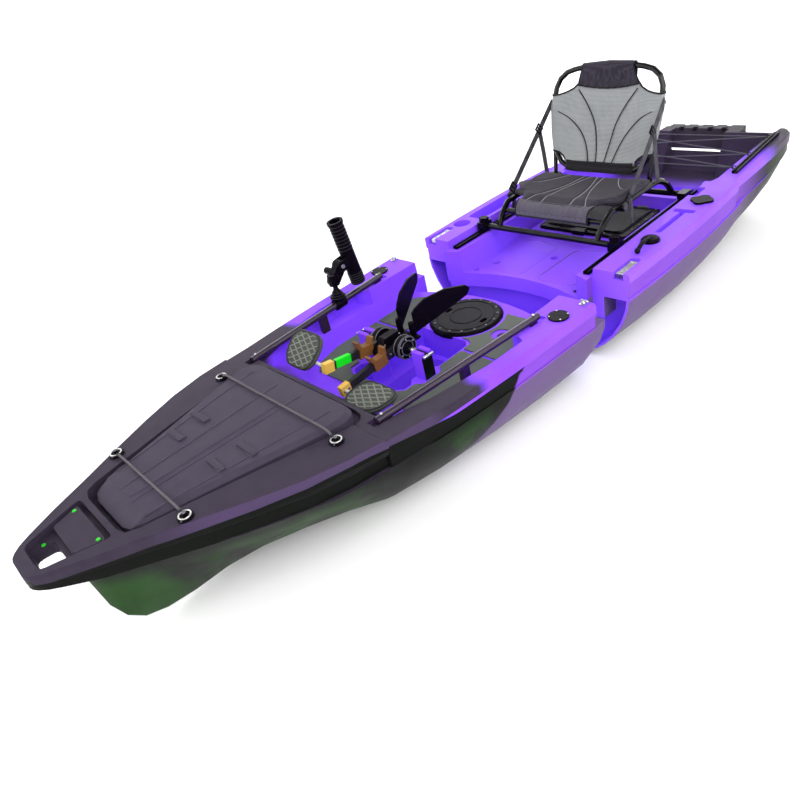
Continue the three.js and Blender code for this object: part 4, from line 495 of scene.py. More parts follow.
# Geometry Nodes trees for what repeats
class Tree:
    def __init__(self, name, inputs):
        self.group = bpy.data.node_groups.new(name, "GeometryNodeTree")
        self.group.interface.new_socket("Geometry", in_out="INPUT", socket_type="NodeSocketGeometry")
        self.keys = {}
        for label, value in inputs.items():
            socket = self.group.interface.new_socket(label, in_out="INPUT", socket_type="NodeSocketFloat")
            socket.default_value = value
            self.keys[label] = socket.identifier
        self.group.interface.new_socket("Geometry", in_out="OUTPUT", socket_type="NodeSocketGeometry")
        self.source = self.group.nodes.new("NodeGroupInput")
        self.result = self.group.nodes.new("NodeGroupOutput")

    def add(self, kind, links=None, **settings):
        made = self.group.nodes.new(kind)
        for key, value in settings.items():
            setattr(made, key, value)
        for key, value in (links or {}).items():
            if isinstance(value, bpy.types.NodeSocket):
                self.group.links.new(value, made.inputs[key])
            else:
                made.inputs[key].default_value = value
        return made

    def close(self, geometry, material):
        real = self.add("GeometryNodeRealizeInstances", {"Geometry": geometry})
        paint = self.add("GeometryNodeSetMaterial", {"Geometry": real.outputs[0]})
        paint.inputs["Material"].default_value = material
        self.group.links.new(paint.outputs[0], self.result.inputs[0])

    def grow(self, name, mesh, values):
        """Plain mesh of the tree run on a mesh with the given sizes"""
        holder = bpy.data.objects.new(name + "_seed", mesh)
        bpy.context.scene.collection.objects.link(holder)
        modifier = holder.modifiers.new("grow", "NODES")
        modifier.node_group = self.group
        for label, value in values.items():
            modifier[self.keys[label]] = value
        ready = holder.evaluated_get(bpy.context.evaluated_depsgraph_get())
        grown = bpy.data.meshes.new_from_object(ready)
        bpy.data.objects.remove(holder)
        grown.name = name
        return grown


def heads_tree(material):
    """Low round fastener heads with a hexagon recess, turned to the aim of each point"""
    tree = Tree("fastener_heads", {"Radius": 0.004, "Height": 0.002})
    radius, height = tree.source.outputs["Radius"], tree.source.outputs["Height"]
    top = tree.add("ShaderNodeMath", operation="MULTIPLY", links={0: radius, 1: 0.8})
    hexagon = tree.add("ShaderNodeMath", operation="MULTIPLY", links={0: radius, 1: 0.45})
    sizes = {"Vertices": 16, "Radius Top": top.outputs[0], "Radius Bottom": radius, "Depth": height}
    head = tree.add("GeometryNodeMeshCone", sizes)
    pit = tree.add("GeometryNodeMeshCylinder", {"Vertices": 6, "Radius": hexagon.outputs[0], "Depth": height})
    lift = tree.add("ShaderNodeCombineXYZ", {"Z": height})
    raised = tree.add("GeometryNodeTransform", {"Geometry": pit.outputs[0], "Translation": lift.outputs[0]})
    pressed = tree.add("GeometryNodeMeshBoolean", operation="DIFFERENCE")
    tree.group.links.new(head.outputs[0], pressed.inputs[0])
    tree.group.links.new(raised.outputs[0], pressed.inputs[1])
    aim = tree.add("GeometryNodeInputNamedAttribute", {"Name": "aim"}, data_type="FLOAT_VECTOR")
    turn = tree.add("FunctionNodeAlignRotationToVector", {"Vector": aim.outputs[0]}, axis="Z")
    places = {"Points": tree.source.outputs["Geometry"], "Instance": pressed.outputs[0], "Rotation": turn.outputs[0]}
    spread = tree.add("GeometryNodeInstanceOnPoints", places)
    tree.close(spread.outputs[0], material)
    return tree


def fasteners(name, spots, radius, height, body, finish, slot):
    """Fastener heads at (place, aim) pairs, in metres"""
    mesh = bpy.data.meshes.new(name)
    mesh.from_pydata([tuple(place) for place, _ in spots], [], [])
    aim = mesh.attributes.new("aim", "FLOAT_VECTOR", "POINT")
    aim.data.foreach_set("vector", [c for _, direction in spots for c in direction])
    grown = heads_tree(finish).grow(name, mesh, {"Radius": radius, "Height": height})
    return piece(name, grown, body, finish, slot, smooth=False)


def stitch_tree(material):
    """Short thread stitches laid end to end along a line"""
    tree = Tree("thread_stitches", {"Pitch": 0.005, "Length": 0.0036, "Thread": 0.0005})
    given = tree.source.outputs
    line = tree.add("GeometryNodeMeshToCurve", {"Mesh": given["Geometry"]})
    steps = {"Curve": line.outputs[0], "Length": given["Pitch"]}
    marks = tree.add("GeometryNodeCurveToPoints", steps, mode="LENGTH")
    sizes = {"Vertices": 6, "Radius": given["Thread"], "Depth": given["Length"]}
    thread = tree.add("GeometryNodeMeshCylinder", sizes)
    places = {"Points": marks.outputs["Points"], "Instance": thread.outputs[0], "Rotation": marks.outputs["Rotation"]}
    spread = tree.add("GeometryNodeInstanceOnPoints", places)
    tree.close(spread.outputs[0], material)
    return tree


def stitches(name, lines, body, finish, slot, pitch=0.006, length=0.0042, thread=0.0006):
    """Rows of stitches along lines of points"""
    points, edges = [], []
    for line in lines:
        edges += [(len(points) + k, len(points) + k + 1) for k in range(len(line) - 1)]
        points += [tuple(p) for p in line]
    mesh = bpy.data.meshes.new(name)
    mesh.from_pydata(points, edges, [])
    grown = stitch_tree(finish).grow(name, mesh, {"Pitch": pitch, "Length": length, "Thread": thread})
    return piece(name, grown, body, finish, slot)


set_camera()
set_studio()

FINISHES = {
    "hull_purple": moulded("front_hull_plastic", front_hull_colour, (0.32, 0.5), specular=0.05),
    "hull_violet": moulded("rear_hull_plastic", rear_hull_colour, (0.32, 0.5), specular=0.05),
    "bow_charcoal": moulded("bow_lid_plastic", lid_colour, (0.42, 0.6), 0.5, specular=0.08),
    "black_plastic": moulded("black_plastic", "#0b070f", (0.26, 0.4), 0.2, 0.001, 0.04),
    "foam": moulded("foam_mat", "#5f645d", (0.8, 0.95), 0.9, 0.0008, 0.2),
    "rail": moulded("rail_gloss", "#2a1b31", (0.14, 0.24), 0.05, 0.001, 0.5),
    "steel": moulded("steel_fitting", "#c9c9c6", (0.2, 0.34), 0.1, 0.0008, 0.5),
    "clip": moulded("clip_plastic", "#7a4f28", (0.3, 0.45), 0.2, 0.001),
    "cord": moulded("grey_cord", "#59585d", (0.75, 0.9), 0.6, 0.0004),
    "pad": moulded("pedal_rubber", "#464a44", (0.6, 0.75), 0.4, 0.001),
    "mesh": moulded("back_mesh", "#7d8080", (0.7, 0.85), 0.8, 0.001),
    "fabric": moulded("dark_fabric", "#2c2931", (0.65, 0.8), 0.8, 0.001),
    "frame": moulded("black_tube", "#070708", (0.1, 0.18), 0.1, 0.0008, 0.2),
}
FINISHES["steel"].node_tree.nodes["Principled BSDF"].inputs["Metallic"].default_value = 1.0
crank = moulded("crank_arm", crank_colour, (0.28, 0.42), 0.2, 0.001)

made_soft = ("seat_pad", "seat_back_mesh", "seat_strap", "bow_cord", "tank_lacing")

for node in sorted(nodes):
    if not node.startswith(made_soft):
        skin(node, crank if node.startswith("crank_arm") else FINISHES[slot_of[node]])


class Surface:
    """Top or front face of a mesh, for laying details on it"""

    def __init__(self, mesh):
        form = bmesh.new()
        form.from_mesh(mesh)
        self.tree = BVHTree.FromBMesh(form)
        form.free()

    def under(self, x, y, lift=0.0, start=2.0):
        hit = self.tree.ray_cast(Vector((x, y, start)), Vector((0, 0, -1)))[0]
        return None if hit is None else hit + Vector((0, 0, lift))

    def behind(self, y, z, lift=0.0):
        hit = self.tree.ray_cast(Vector((0, y, z)), Vector((-1, 0, 0)))[0]
        hit = hit or self.tree.find_nearest(Vector((-0.7, y, z)))[0]
        return hit + Vector((lift, 0, 0))


def top_of(node):
    return Surface(nodes[node].data)


def circle(centre, radius, axis=(0, 0, 1), count=40):
    turn = Vector((0, 0, 1)).rotation_difference(Vector(axis)).to_matrix()
    spots = [(math.cos(2 * math.pi * k / count), math.sin(2 * math.pi * k / count)) for k in range(count)]
    return [Vector(centre) + turn @ Vector((radius * a, radius * b, 0)) for a, b in spots]


def hoop(name, centre, radius, wire, axis=(0, 0, 1), count=40):
    up = (1, 0, 0) if abs(axis[0]) < 0.5 and abs(axis[2]) < 0.5 else axis
    return sweep(name, circle(centre, radius, axis, count), ring_section(wire, 8), closed=True, up=up)


def rod(name, start, end, radius, sides=16, bevel=0.0006):
    """Round bar with softened ends"""
    start, end = Vector(start), Vector(end)
    reach = (end - start).length
    profile = [(0, 0), (radius - bevel, 0), (radius, bevel)]
    profile += [(radius, reach - bevel), (radius - bevel, reach), (0, reach)]
    return turned_mesh(name, profile, start, (end - start).normalized(), sides)


def woven(name, warp, weft, pitch, rough=(0.75, 0.9), across="Y", height=0.0006):
    """Cloth of crossed threads at a pitch in metres"""
    cloth = Finish(name)
    scale = 0.314 / pitch
    one = cloth.waves(scale, across)
    two = cloth.waves(scale, "Z" if across == "Y" else "Y")
    over = cloth.calc("MULTIPLY", one, two)
    shade = cloth.mix(cloth.ease(over, 0.1, 0.7), warp, weft)
    cloth.bump(over, 0.7, height)
    base = cloth.mix(cloth.cloud(8, 4.0), shade, darker(weft))
    cloth.set(base=base, rough=cloth.span(cloth.cloud(40), *rough), sheen=0.08, specular=0.1)
    return cloth.material


# Finishes of the soft and small pieces
CLOTHS = {
    "pad": woven("seat_fabric", "#18161b", "#3f3a46", 0.0022, across="X"),
    # Front roll: a paler copy of the seat fabric. The fabric is paler and also painted lighter still, as a painted
    # highlight of the roll's shine
    "roll": woven("front_roll_fabric", "#2f2c35", "#6d6875", 0.0022, across="X"),
    "back": woven("back_weave", "#46494a", "#b2b6b6", 0.0042),
    "hem": woven("hem_fabric", "#111014", "#26242a", 0.0018),
    "web": woven("webbing", "#242327", "#4a484d", 0.0024, across="X"),
}
THREAD = moulded("pale_thread", "#a5a2aa", (0.6, 0.75), 0.2, 0.0003)
GREEN = moulded("green_insert", "#2fd02a", (0.3, 0.4), 0.1, 0.0004)
GREY = moulded("grey_fitting", "#6b6a70", (0.35, 0.5), 0.3, 0.0006)
STEEL = FINISHES["steel"]
PLASTIC = FINISHES["black_plastic"]
CORD = woven("braided_cord", "#3d3c40", "#6d6b71", 0.0016, across="X")
RIM = moulded("dark_rubber", "#2b2a2d", (0.5, 0.65), 0.4, 0.0006)
# Pedal ribs are a paler rubber than the board and its rim
RIB = moulded("pale_rib_rubber", "#7d827a", (0.55, 0.7), 0.4, 0.0006)


# Seat cushion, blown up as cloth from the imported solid
def evaluated(holder):
    ready = holder.evaluated_get(bpy.context.evaluated_depsgraph_get())
    mesh = bpy.data.meshes.new_from_object(ready)
    holder.modifiers.clear()
    holder.data = mesh
    return mesh


def inflated(node, voxel, inset, pressure, limit):
    holder = bpy.data.objects.new(node + "_soft", nodes[node].data.copy())
    bpy.context.scene.collection.objects.link(holder)
    grid = holder.modifiers.new("grid", "REMESH")
    grid.mode = "VOXEL"
    grid.voxel_size = voxel
    mesh = evaluated(holder)
    form = bmesh.new()
    form.from_mesh(mesh)
    for _ in range(3):
        bmesh.ops.smooth_vert(form, verts=form.verts, factor=0.5,
                              use_axis_x=True, use_axis_y=True, use_axis_z=True)
    form.normal_update()
    for vertex in form.verts:
        vertex.co -= vertex.normal * inset
    form.to_mesh(mesh)
    form.free()
    rest = [v.co.copy() for v in mesh.vertices]
    cloth = holder.modifiers.new("cloth", "CLOTH")
    cloth.settings.quality = 5
    cloth.settings.tension_stiffness = 18
    cloth.settings.compression_stiffness = 18
    cloth.settings.bending_stiffness = 1.5
    cloth.settings.use_pressure = True
    cloth.settings.uniform_pressure_force = pressure
    cloth.settings.effector_weights.gravity = 0
    cloth.collision_settings.use_collision = False
    cloth.point_cache.frame_start, cloth.point_cache.frame_end = 1, 20
    for step in range(1, 21):
        bpy.context.scene.frame_set(step)
    mesh = evaluated(holder)
    for vertex, before in zip(mesh.vertices, rest):
        move = vertex.co - before
        if move.length > limit:
            vertex.co = before + move.normalized() * limit
    bpy.context.scene.frame_set(1)
    fine = holder.modifiers.new("fine", "SUBSURF")
    fine.levels = fine.render_levels = 1
    mesh = evaluated(holder)
    bpy.data.objects.remove(holder)
    return mesh


def pressed(mesh, lines, depth, width):
    """Channels along seam lines, sunk into the upper side"""
    spots = KDTree(sum(len(line) for line in lines))
    for k, point in enumerate(p for line in lines for p in line):
        spots.insert(Vector((point.x, point.y, 0)), k)
    spots.balance()
    for vertex in mesh.vertices:
        if vertex.normal.z < 0.2:
            continue
        near = spots.find(Vector((vertex.co.x, vertex.co.y, 0)))[2]
        vertex.co.z -= depth * math.exp(-(near / width) ** 2)


def seat_seams():
    """Seams fanning aft from the front corners, two short ones and one along the back"""
    fan = ((0.128, 0.04, -0.018), (0.06, 0.012, 0.012))
    lines = []
    for sign in (-1, 1):
        for start, end, bow in fan:
            line = []
            for t in range(41):
                share = t / 40
                across = start + (end - start) * t / 40 + bow * math.sin(math.pi * t / 40)
                line.append(Vector((-0.345 - 0.268 * share, sign * across, 0)))
            lines.append(line)
        short = [(t / 20, 0.19 - 0.09 * (t / 20) ** 0.6) for t in range(21)]
        lines.append([Vector((-0.5 - 0.113 * share, sign * across, 0)) for share, across in short])
    back = [t / 34 for t in range(-34, 35)]
    lines.append([Vector((-0.614 - 0.006 * math.cos(math.pi * share), 0.2 * share, 0)) for share in back])
    return lines


def seat_cushion():
    mesh = inflated("seat_pad", voxel=0.005, inset=0.0012, pressure=4.0, limit=0.007)
    seams = seat_seams()
    pressed(mesh, seams, depth=0.0045, width=0.005)
    mesh.name = "seat_cushion"
    cushion = piece("seat_cushion", mesh, "seat", CLOTHS["pad"], "fabric")
    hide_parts("seat_pad")
    top = Surface(mesh)
    laid = [[spot for spot in (top.under(p.x, p.y, 0.0007) for p in line) if spot] for line in seams]
    stitches("seat_stitches", laid, "seat", THREAD, "cord", thread=0.0016)
    edge, aims = [], 120
    for t in range(aims):
        a = 2 * math.pi * t / aims
        aim = Vector((math.cos(a), math.sin(a), 0))
        start = Vector((-0.476, 0, 0.41)) + Vector((aim.x * 0.3, aim.y * 0.4, 0))
        hit = top.tree.ray_cast(start, -aim)[0]
        if hit:
            edge.append(hit + aim * 0.0004)
    piping = sweep("seat_piping", smooth_path(edge, 160, closed=True), ring_section(0.0028, 8), closed=True)
    piece("seat_piping", piping, "seat", CLOTHS["hem"], "fabric")


# Gathered front roll over the seat's front bar, from the cushion's top to below the bar
ROLL = [(-0.362, 0.4135), (-0.349, 0.4125), (-0.336, 0.408), (-0.3265, 0.399), (-0.3205, 0.386),
        (-0.3190, 0.373), (-0.3222, 0.3625), (-0.3300, 0.3572), (-0.3385, 0.3585)]


def front_roll():
    section = smooth_path([(x, 0, z) for x, z in ROLL], 36)
    columns = 72
    grid = []
    for k, spot in enumerate(section):
        row = []
        for j in range(columns + 1):
            share = 2 * j / columns - 1
            half = 0.149 + 0.012 * max(0.0, 1 - k / 12) ** 2
            fold = 0.0009 * math.sin(j * 1.1) + 0.0006 * math.sin(j * 2.3 + 0.7)
            fold *= math.sin(math.pi * min(k / 24, 1))
            dip = 0.003 * (1 - share * share) * max(0.0, 1 - k / 10)
            row.append(Vector((spot.x + fold, share * half, spot.z + fold * 0.6 - dip)))
        grid.append(row)
    roll = piece("seat_front_roll", thick_sheet("seat_front_roll", grid, 0.002), "seat", CLOTHS["roll"], "fabric")
    wire = ring_section(0.003, 8)
    edges = [sweep("low_piping", grid[25], wire)]
    edges += [sweep("side_piping", [row[j] for row in grid[2:]], wire, up=(0, 1, 0)) for j in (0, -1)]
    group("roll_piping", edges, "seat", CLOTHS["hem"], "fabric")


# Mesh back wrapped over the side tubes, with its cap, seams and hems
BACK_LOOP = [(541, 0, 436), (541, 110, 436), (546, 158, 446), (556, 190, 490), (574, 206, 560),
             (598, 216, 650), (622, 208, 726), (634, 168, 764), (640, 90, 778), (642, 0, 782)]
BACK_TOP = [(0, 0.774), (0.47, 0.774), (0.5, 0.75), (0.56, 0.727),
            (0.65, 0.709), (0.78, 0.698), (0.9, 0.692), (1, 0.69)]
BACK_LOW = [(0, 0.446), (0.74, 0.448), (0.77, 0.468), (0.82, 0.48), (0.9, 0.491), (1, 0.496)]
INNER_SEAM = [(16, 455), (27, 520), (43, 586), (74, 645), (118, 704)]
OUTER_SEAM = [(48, 455), (68, 514), (98, 563), (142, 608), (190, 634)]


def level(pairs, at):
    """Height read off a list of (share, height) pairs"""
    for (a, low), (b, high) in zip(pairs, pairs[1:]):
        if at <= b:
            return low + (high - low) * (at - a) / (b - a)
    return pairs[-1][1]


def side_tube(z):
    """Centre of the back frame's side tube at a height"""
    z = min(max(z * 1000, 446), 726)
    tube = BACK_LOOP[2:7]
    for (aft, y, low), (aft_next, y_next, high) in zip(tube, tube[1:]):
        if z <= high:
            share = (z - low) / (high - low)
            return rear(-aft - (aft_next - aft) * share, y + (y_next - y) * share, z)


def back_spot(face, share, z, lift=0.0):
    """Point of the mesh back at a share of its half width"""
    tube = side_tube(min(max(z, 0.49), 0.7))
    y = share * tube.y
    inner = face.behind(max(-0.175, min(0.175, y)), min(max(z, 0.4495), 0.7645), 0)
    edge = min(max((abs(y) - 0.12) / (tube.y - 0.12), 0), 1)
    x = inner.x * (1 - edge) + (side_tube(z).x + 0.0122) * edge
    return Vector((x + lift, y, z))


def back_sheet(face):
    """Rows of points from the lower hem to the top, wrapped round each side tube"""
    rows, half = 64, 44
    turns = [math.radians(a) for a in (25, 50, 75, 100, 125, 150)]
    grid = []
    for k in range(rows + 1):
        row = []
        up = k / rows
        for j in range(-half, half + 1):
            share = j / half
            low, high = level(BACK_LOW, abs(share)), level(BACK_TOP, abs(share))
            spot = back_spot(face, share, low + (high - low) * up)
            slack = math.sin(math.pi * up) * math.cos(math.pi * share / 2)
            spot.x -= 0.0015 * slack + 0.0008 * math.sin(j * 0.9 + k * 0.35) * slack
            row.append(spot)
        z = BACK_LOW[-1][1] + (BACK_TOP[-1][1] - BACK_LOW[-1][1]) * up
        tube = side_tube(z)
        wrap = [Vector((tube.x + 0.0122 * math.cos(a), tube.y + 0.0122 * math.sin(a), z)) for a in turns]
        grid.append([Vector((p.x, -p.y, p.z)) for p in reversed(wrap)] + row + wrap)
    return grid


def thick_sheet(name, grid, thick):
    """Closed thin shell round a grid of points"""
    rows, size = len(grid), len(grid[0])
    normals = []
    for k in range(rows):
        for j in range(size):
            across = grid[k][min(j + 1, size - 1)] - grid[k][max(j - 1, 0)]
            upward = grid[min(k + 1, rows - 1)][j] - grid[max(k - 1, 0)][j]
            normals.append(across.cross(upward).normalized() * (thick / 2))
    flat = [p for row in grid for p in row]
    points = [p + n for p, n in zip(flat, normals)] + [p - n for p, n in zip(flat, normals)]
    shift = rows * size
    faces = []
    for k in range(rows - 1):
        for j in range(size - 1):
            a, b = k * size + j, (k + 1) * size + j
            faces += [(a, a + 1, b + 1, b), (shift + a, shift + b, shift + b + 1, shift + a + 1)]
    ring = list(range(size)) + [k * size + size - 1 for k in range(1, rows)]
    ring += [(rows - 1) * size + j for j in reversed(range(size - 1))]
    ring += [k * size for k in reversed(range(1, rows - 1))]
    faces += [(b, a, a + shift, b + shift) for a, b in zip(ring, ring[1:] + ring[:1])]
    return outward(new_mesh(name, points, faces))


def bar_spot(y):
    """Centre of the back frame's top bar"""
    out = abs(y)
    if out < 0.09:
        return rear(-(642 - 2 * out / 0.09), y * 1000, 782 - 4 * out / 0.09)
    past = (out - 0.09) / 0.078
    return rear(-(640 - 6 * past), y * 1000, 778 - 14 * past)


def back_cap(face):
    """Gathered fabric over the top bar, front face first"""
    columns, front_rows, bar_rows, tail_rows = 48, 14, 12, 8
    half, wrap = 0.101, 0.0136
    grid = []
    for t in range(front_rows + bar_rows + tail_rows + 1):
        row = []
        for j in range(columns + 1):
            share = 2 * j / columns - 1
            hang = 0.706 + 0.014 * share * share
            bar = bar_spot(share * half)
            fold = 0.0016 * math.sin(j * 1.15) + 0.0009 * math.sin(j * 2.6 + 1)
            if t <= front_rows:
                up = t / front_rows
                y = share * (0.121 - 0.02 * up)
                z = hang + (bar.z - hang) * up
                x = (back_spot(face, y / 0.21, min(z, 0.76)).x + 0.0035) * (1 - up) + (bar.x + wrap) * up
                spot = Vector((x + fold * (1 - up) + 0.003 * math.sin(math.pi * up), y, z))
            elif t <= front_rows + bar_rows:
                turn = math.pi * (t - front_rows) / bar_rows
                spot = Vector((bar.x + wrap * math.cos(turn), share * half, bar.z + wrap * math.sin(turn)))
            else:
                down = (t - front_rows - bar_rows) / tail_rows
                hang_x = bar.x - wrap + 0.009 * down + fold * down
                spot = Vector((hang_x, share * half, bar.z - 0.045 * down))
            row.append(spot)
        grid.append(row)
    return grid


def seat_back():
    face = top_of("seat_back_mesh")
    grid = back_sheet(face)
    back = piece("back_mesh_cloth", thick_sheet("back_mesh_cloth", grid, 0.0014), "backrest", CLOTHS["back"], "mesh")
    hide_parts("seat_back_mesh")
    cap_grid = back_cap(face)
    cap = piece("back_cap", thick_sheet("back_cap", cap_grid, 0.0014), "backrest", CLOTHS["pad"], "fabric")
    loop = BACK_LOOP[:4]
    whole = [rear(-x, y, z) for x, y, z in reversed(loop)] + [rear(-x, -y, z) for x, y, z in loop[1:]]
    low = smooth_path(whole, 80)
    low = [p for p in low if abs(p.y) < 0.141]
    turns = [2 * math.pi * k / 20 for k in range(20)]
    hem = [(0.0138 * math.cos(a), 0.0135 * math.sin(a)) for a in turns]
    bar = [p + Vector((0.0045, 0, 0.021)) for p in low]
    hems = [sweep("low_hem", low, hem), sweep("upper_hem", bar, [(x * 0.3, z * 0.62) for x, z in hem])]
    sleeve = group("back_hems", hems, "backrest", CLOTHS["hem"], "fabric")
    edges, wire = [], ring_section(0.0034, 8)
    keep = [p for p in grid[-1] if abs(p.y) > 0.107]
    for sign in (-1, 1):
        top = [p + Vector((0.001, 0, 0)) for p in keep if p.y * sign > 0]
        base = [p for p in grid[0] if abs(p.y) > 0.139 and p.y * sign > 0]
        edges += [sweep("top_edge", smooth_path(top, 60), wire, up=(1, 0, 0)),
                  sweep("low_edge", smooth_path(base, 50), wire, up=(1, 0, 0))]
    hem_line = smooth_path([p + Vector((0.001, 0, 0)) for p in cap_grid[0]], 80)
    edges.append(sweep("cap_piping", hem_line, wire, up=(1, 0, 0)))
    for j in (0, -1):
        side = [row[j] for row in cap_grid]
        edges.append(sweep("cap_side", smooth_path(side, 80), ring_section(0.0026, 8), up=(0, 1, 0)))
    group("back_binding", edges, "backrest", CLOTHS["hem"], "fabric")
    dark, pale = [], []
    for seam in (INNER_SEAM, OUTER_SEAM):
        for sign in (-1, 1):
            spots = []
            for y, z in seam:
                edge = side_tube(max(z / 1000, 0.49)).y
                spots.append(back_spot(face, sign * y / 1000 / edge, z / 1000, 0.0016))
            line = smooth_path(spots, 70)
            dark.append(sweep("seam", line, ring_section(0.0021, 8, 0.7), up=(1, 0, 0)))
            pale.append([p + Vector((0.0012, sign * 0.005, 0)) for p in line])
    group("back_seams", dark, "backrest", CLOTHS["hem"], "fabric")
    stitches("back_stitches", pale, "backrest", THREAD, "cord", thread=0.0011)


# Webbing from the seat's front corners to its back
def strap(name, path, width, thick):
    """Flat webbing that spans the recline hinge"""
    mesh = sweep(name, path, band_section(width, thick), up=(0, 1, 0))
    mesh.materials.append(CLOTHS["web"])
    made = bpy.data.objects.new(name, mesh)
    bpy.context.scene.collection.objects.link(made)
    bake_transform(made)
    return made


def buckle(name, spot, ahead, lift, body, bars, rails):
    """Frame of cross bars and two side rails, each a (reach, half length, radius)"""
    reach, half, radius = bars
    parts = []
    for shift in (-reach, 0.0, reach):
        middle = spot + ahead * shift
        parts.append(rod("bar", middle - lift * half, middle + lift * half, radius))
    reach, half, radius = rails
    for shift in (-reach, reach):
        middle = spot + lift * shift
        parts.append(rod("side", middle - ahead * half, middle + ahead * half, radius))
    group(name, parts, body, PLASTIC, "black_plastic")


def seat_straps():
    for side, sign in SIDES:
        start, end = rear(-300, sign * 243, 394), rear(-604, sign * 226, 668)
        middle = (start + end) / 2 + Vector((0.004, sign * 0.001, -0.005))
        long = strap(f"side_strap_{side}", smooth_path([start, middle, end], 60), 0.025, 0.0024)
        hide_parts(f"seat_strap_{side}")
        ahead = (end - start).normalized()
        lift = Vector((0, 1, 0)).cross(ahead)
        slide_at = start + (end - start) * 0.7 + lift * 0.004
        bars, rails = (0.012, 0.016, 0.003), (0.016, 0.015, 0.0034)
        buckle(f"strap_slider_{side}", slide_at, ahead, lift, "backrest", bars, rails)
        foot = rear(-540, sign * 234, 404)
        head = slide_at + Vector((-0.006, sign * 0.004, -0.008))
        middle = (slide_at + foot) / 2 + Vector((-0.002, 0, 0))
        down = smooth_path([head, middle, foot], 50)
        strap(f"rear_strap_{side}", down, 0.024, 0.0022)
        frame_at = start + (end - start) * 0.1
        bars, rails = (0.014, 0.0165, 0.0026), (0.0165, 0.017, 0.003)
        buckle(f"strap_buckle_{side}", frame_at, ahead, lift, "seat", bars, rails)
        tail = [frame_at + Vector((x, sign * y, z)) for x, y, z in
                ((0, 0.004, 0), (-0.004, 0.006, -0.05), (0.002, 0.008, -0.085))]
        tail_mesh = sweep(f"strap_tail_{side}", smooth_path(tail, 24), band_section(0.022, 0.0022), up=(0, 1, 0))
        piece(f"strap_tail_{side}", tail_mesh, "seat", CLOTHS["web"], "fabric")


seat_cushion()
front_roll()
seat_back()
seat_straps()


# Pedals: waved ribs and a raised rim on each board
DRIVE_TURNS = {"port": (5, -5, -0.004), "starboard": (-9, 52, -0.020)}
PAD_LONG, PAD_WIDE, PAD_TOP, PAD_OUT, PAD_ROUND = 0.056, 0.0725, 0.0172, 0.137, 0.046


def about_y(point, degrees):
    a = math.radians(degrees)
    x, y, z = point
    return Vector((x * math.cos(a) + z * math.sin(a), y, z * math.cos(a) - x * math.sin(a)))


def on_pad(side, sign, x, y, z):
    arm, turn, shift = DRIVE_TURNS[side]
    axle = PIVOT + about_y((0.224, 0, 0), arm)
    return axle + about_y((x + shift, sign * PAD_OUT + y, z), arm + turn)


def pad_half(x):
    edge = PAD_WIDE - 0.008 * (x + PAD_LONG) / (2 * PAD_LONG)
    past = max(0.0, abs(x) - (PAD_LONG - PAD_ROUND))
    return edge - PAD_ROUND + math.sqrt(max(0.0, PAD_ROUND ** 2 - past ** 2))


def pedal_ribs():
    for side, sign in SIDES:
        arm, turn, _ = DRIVE_TURNS[side]
        up = about_y((0, 0, 1), arm + turn)
        ribs = []
        for k in range(-4, 5):
            middle = k * 0.0112
            half = pad_half(abs(middle) + 0.005) - 0.009
            if half < 0.01:
                continue
            line = []
            for j in range(49):
                y = -half + 2 * half * j / 48
                wave = (-1) ** k * 0.0038 * math.sin(2 * math.pi * y / 0.034)
                line.append(on_pad(side, sign, middle + wave, y, PAD_TOP - 0.0006))
            ribs.append(sweep("rib", line, ring_section(0.0021, 6), up=up))
        rim = []
        for k in range(90):
            a = 2 * math.pi * k / 90
            x = (PAD_LONG - 0.0045) * math.sin(a)
            y = math.copysign(pad_half(x) - 0.0045, math.cos(a)) if abs(math.cos(a)) > 0.02 else 0.0
            x_out = x if abs(math.cos(a)) > 0.02 else math.copysign(PAD_LONG - 0.0045, x)
            rim.append(on_pad(side, sign, x_out, y, PAD_TOP - 0.0004))
        body = f"pedal_{side}"
        group(f"pedal_ribs_{side}", ribs, body, RIB, "pad")
        rim_mesh = sweep(f"pedal_rim_{side}", rim, ring_section(0.0026, 8), closed=True, up=up)
        piece(f"pedal_rim_{side}", rim_mesh, body, RIM, "pad")
        axle = PIVOT + about_y((0.224, 0, 0), arm)
        ends = [(Vector((axle.x, sign * 0.1885, axle.z)), (0, sign, 0))]
        fasteners(f"axle_screw_{side}", ends, 0.0075, 0.003, f"crank_{side}", STEEL, "steel")
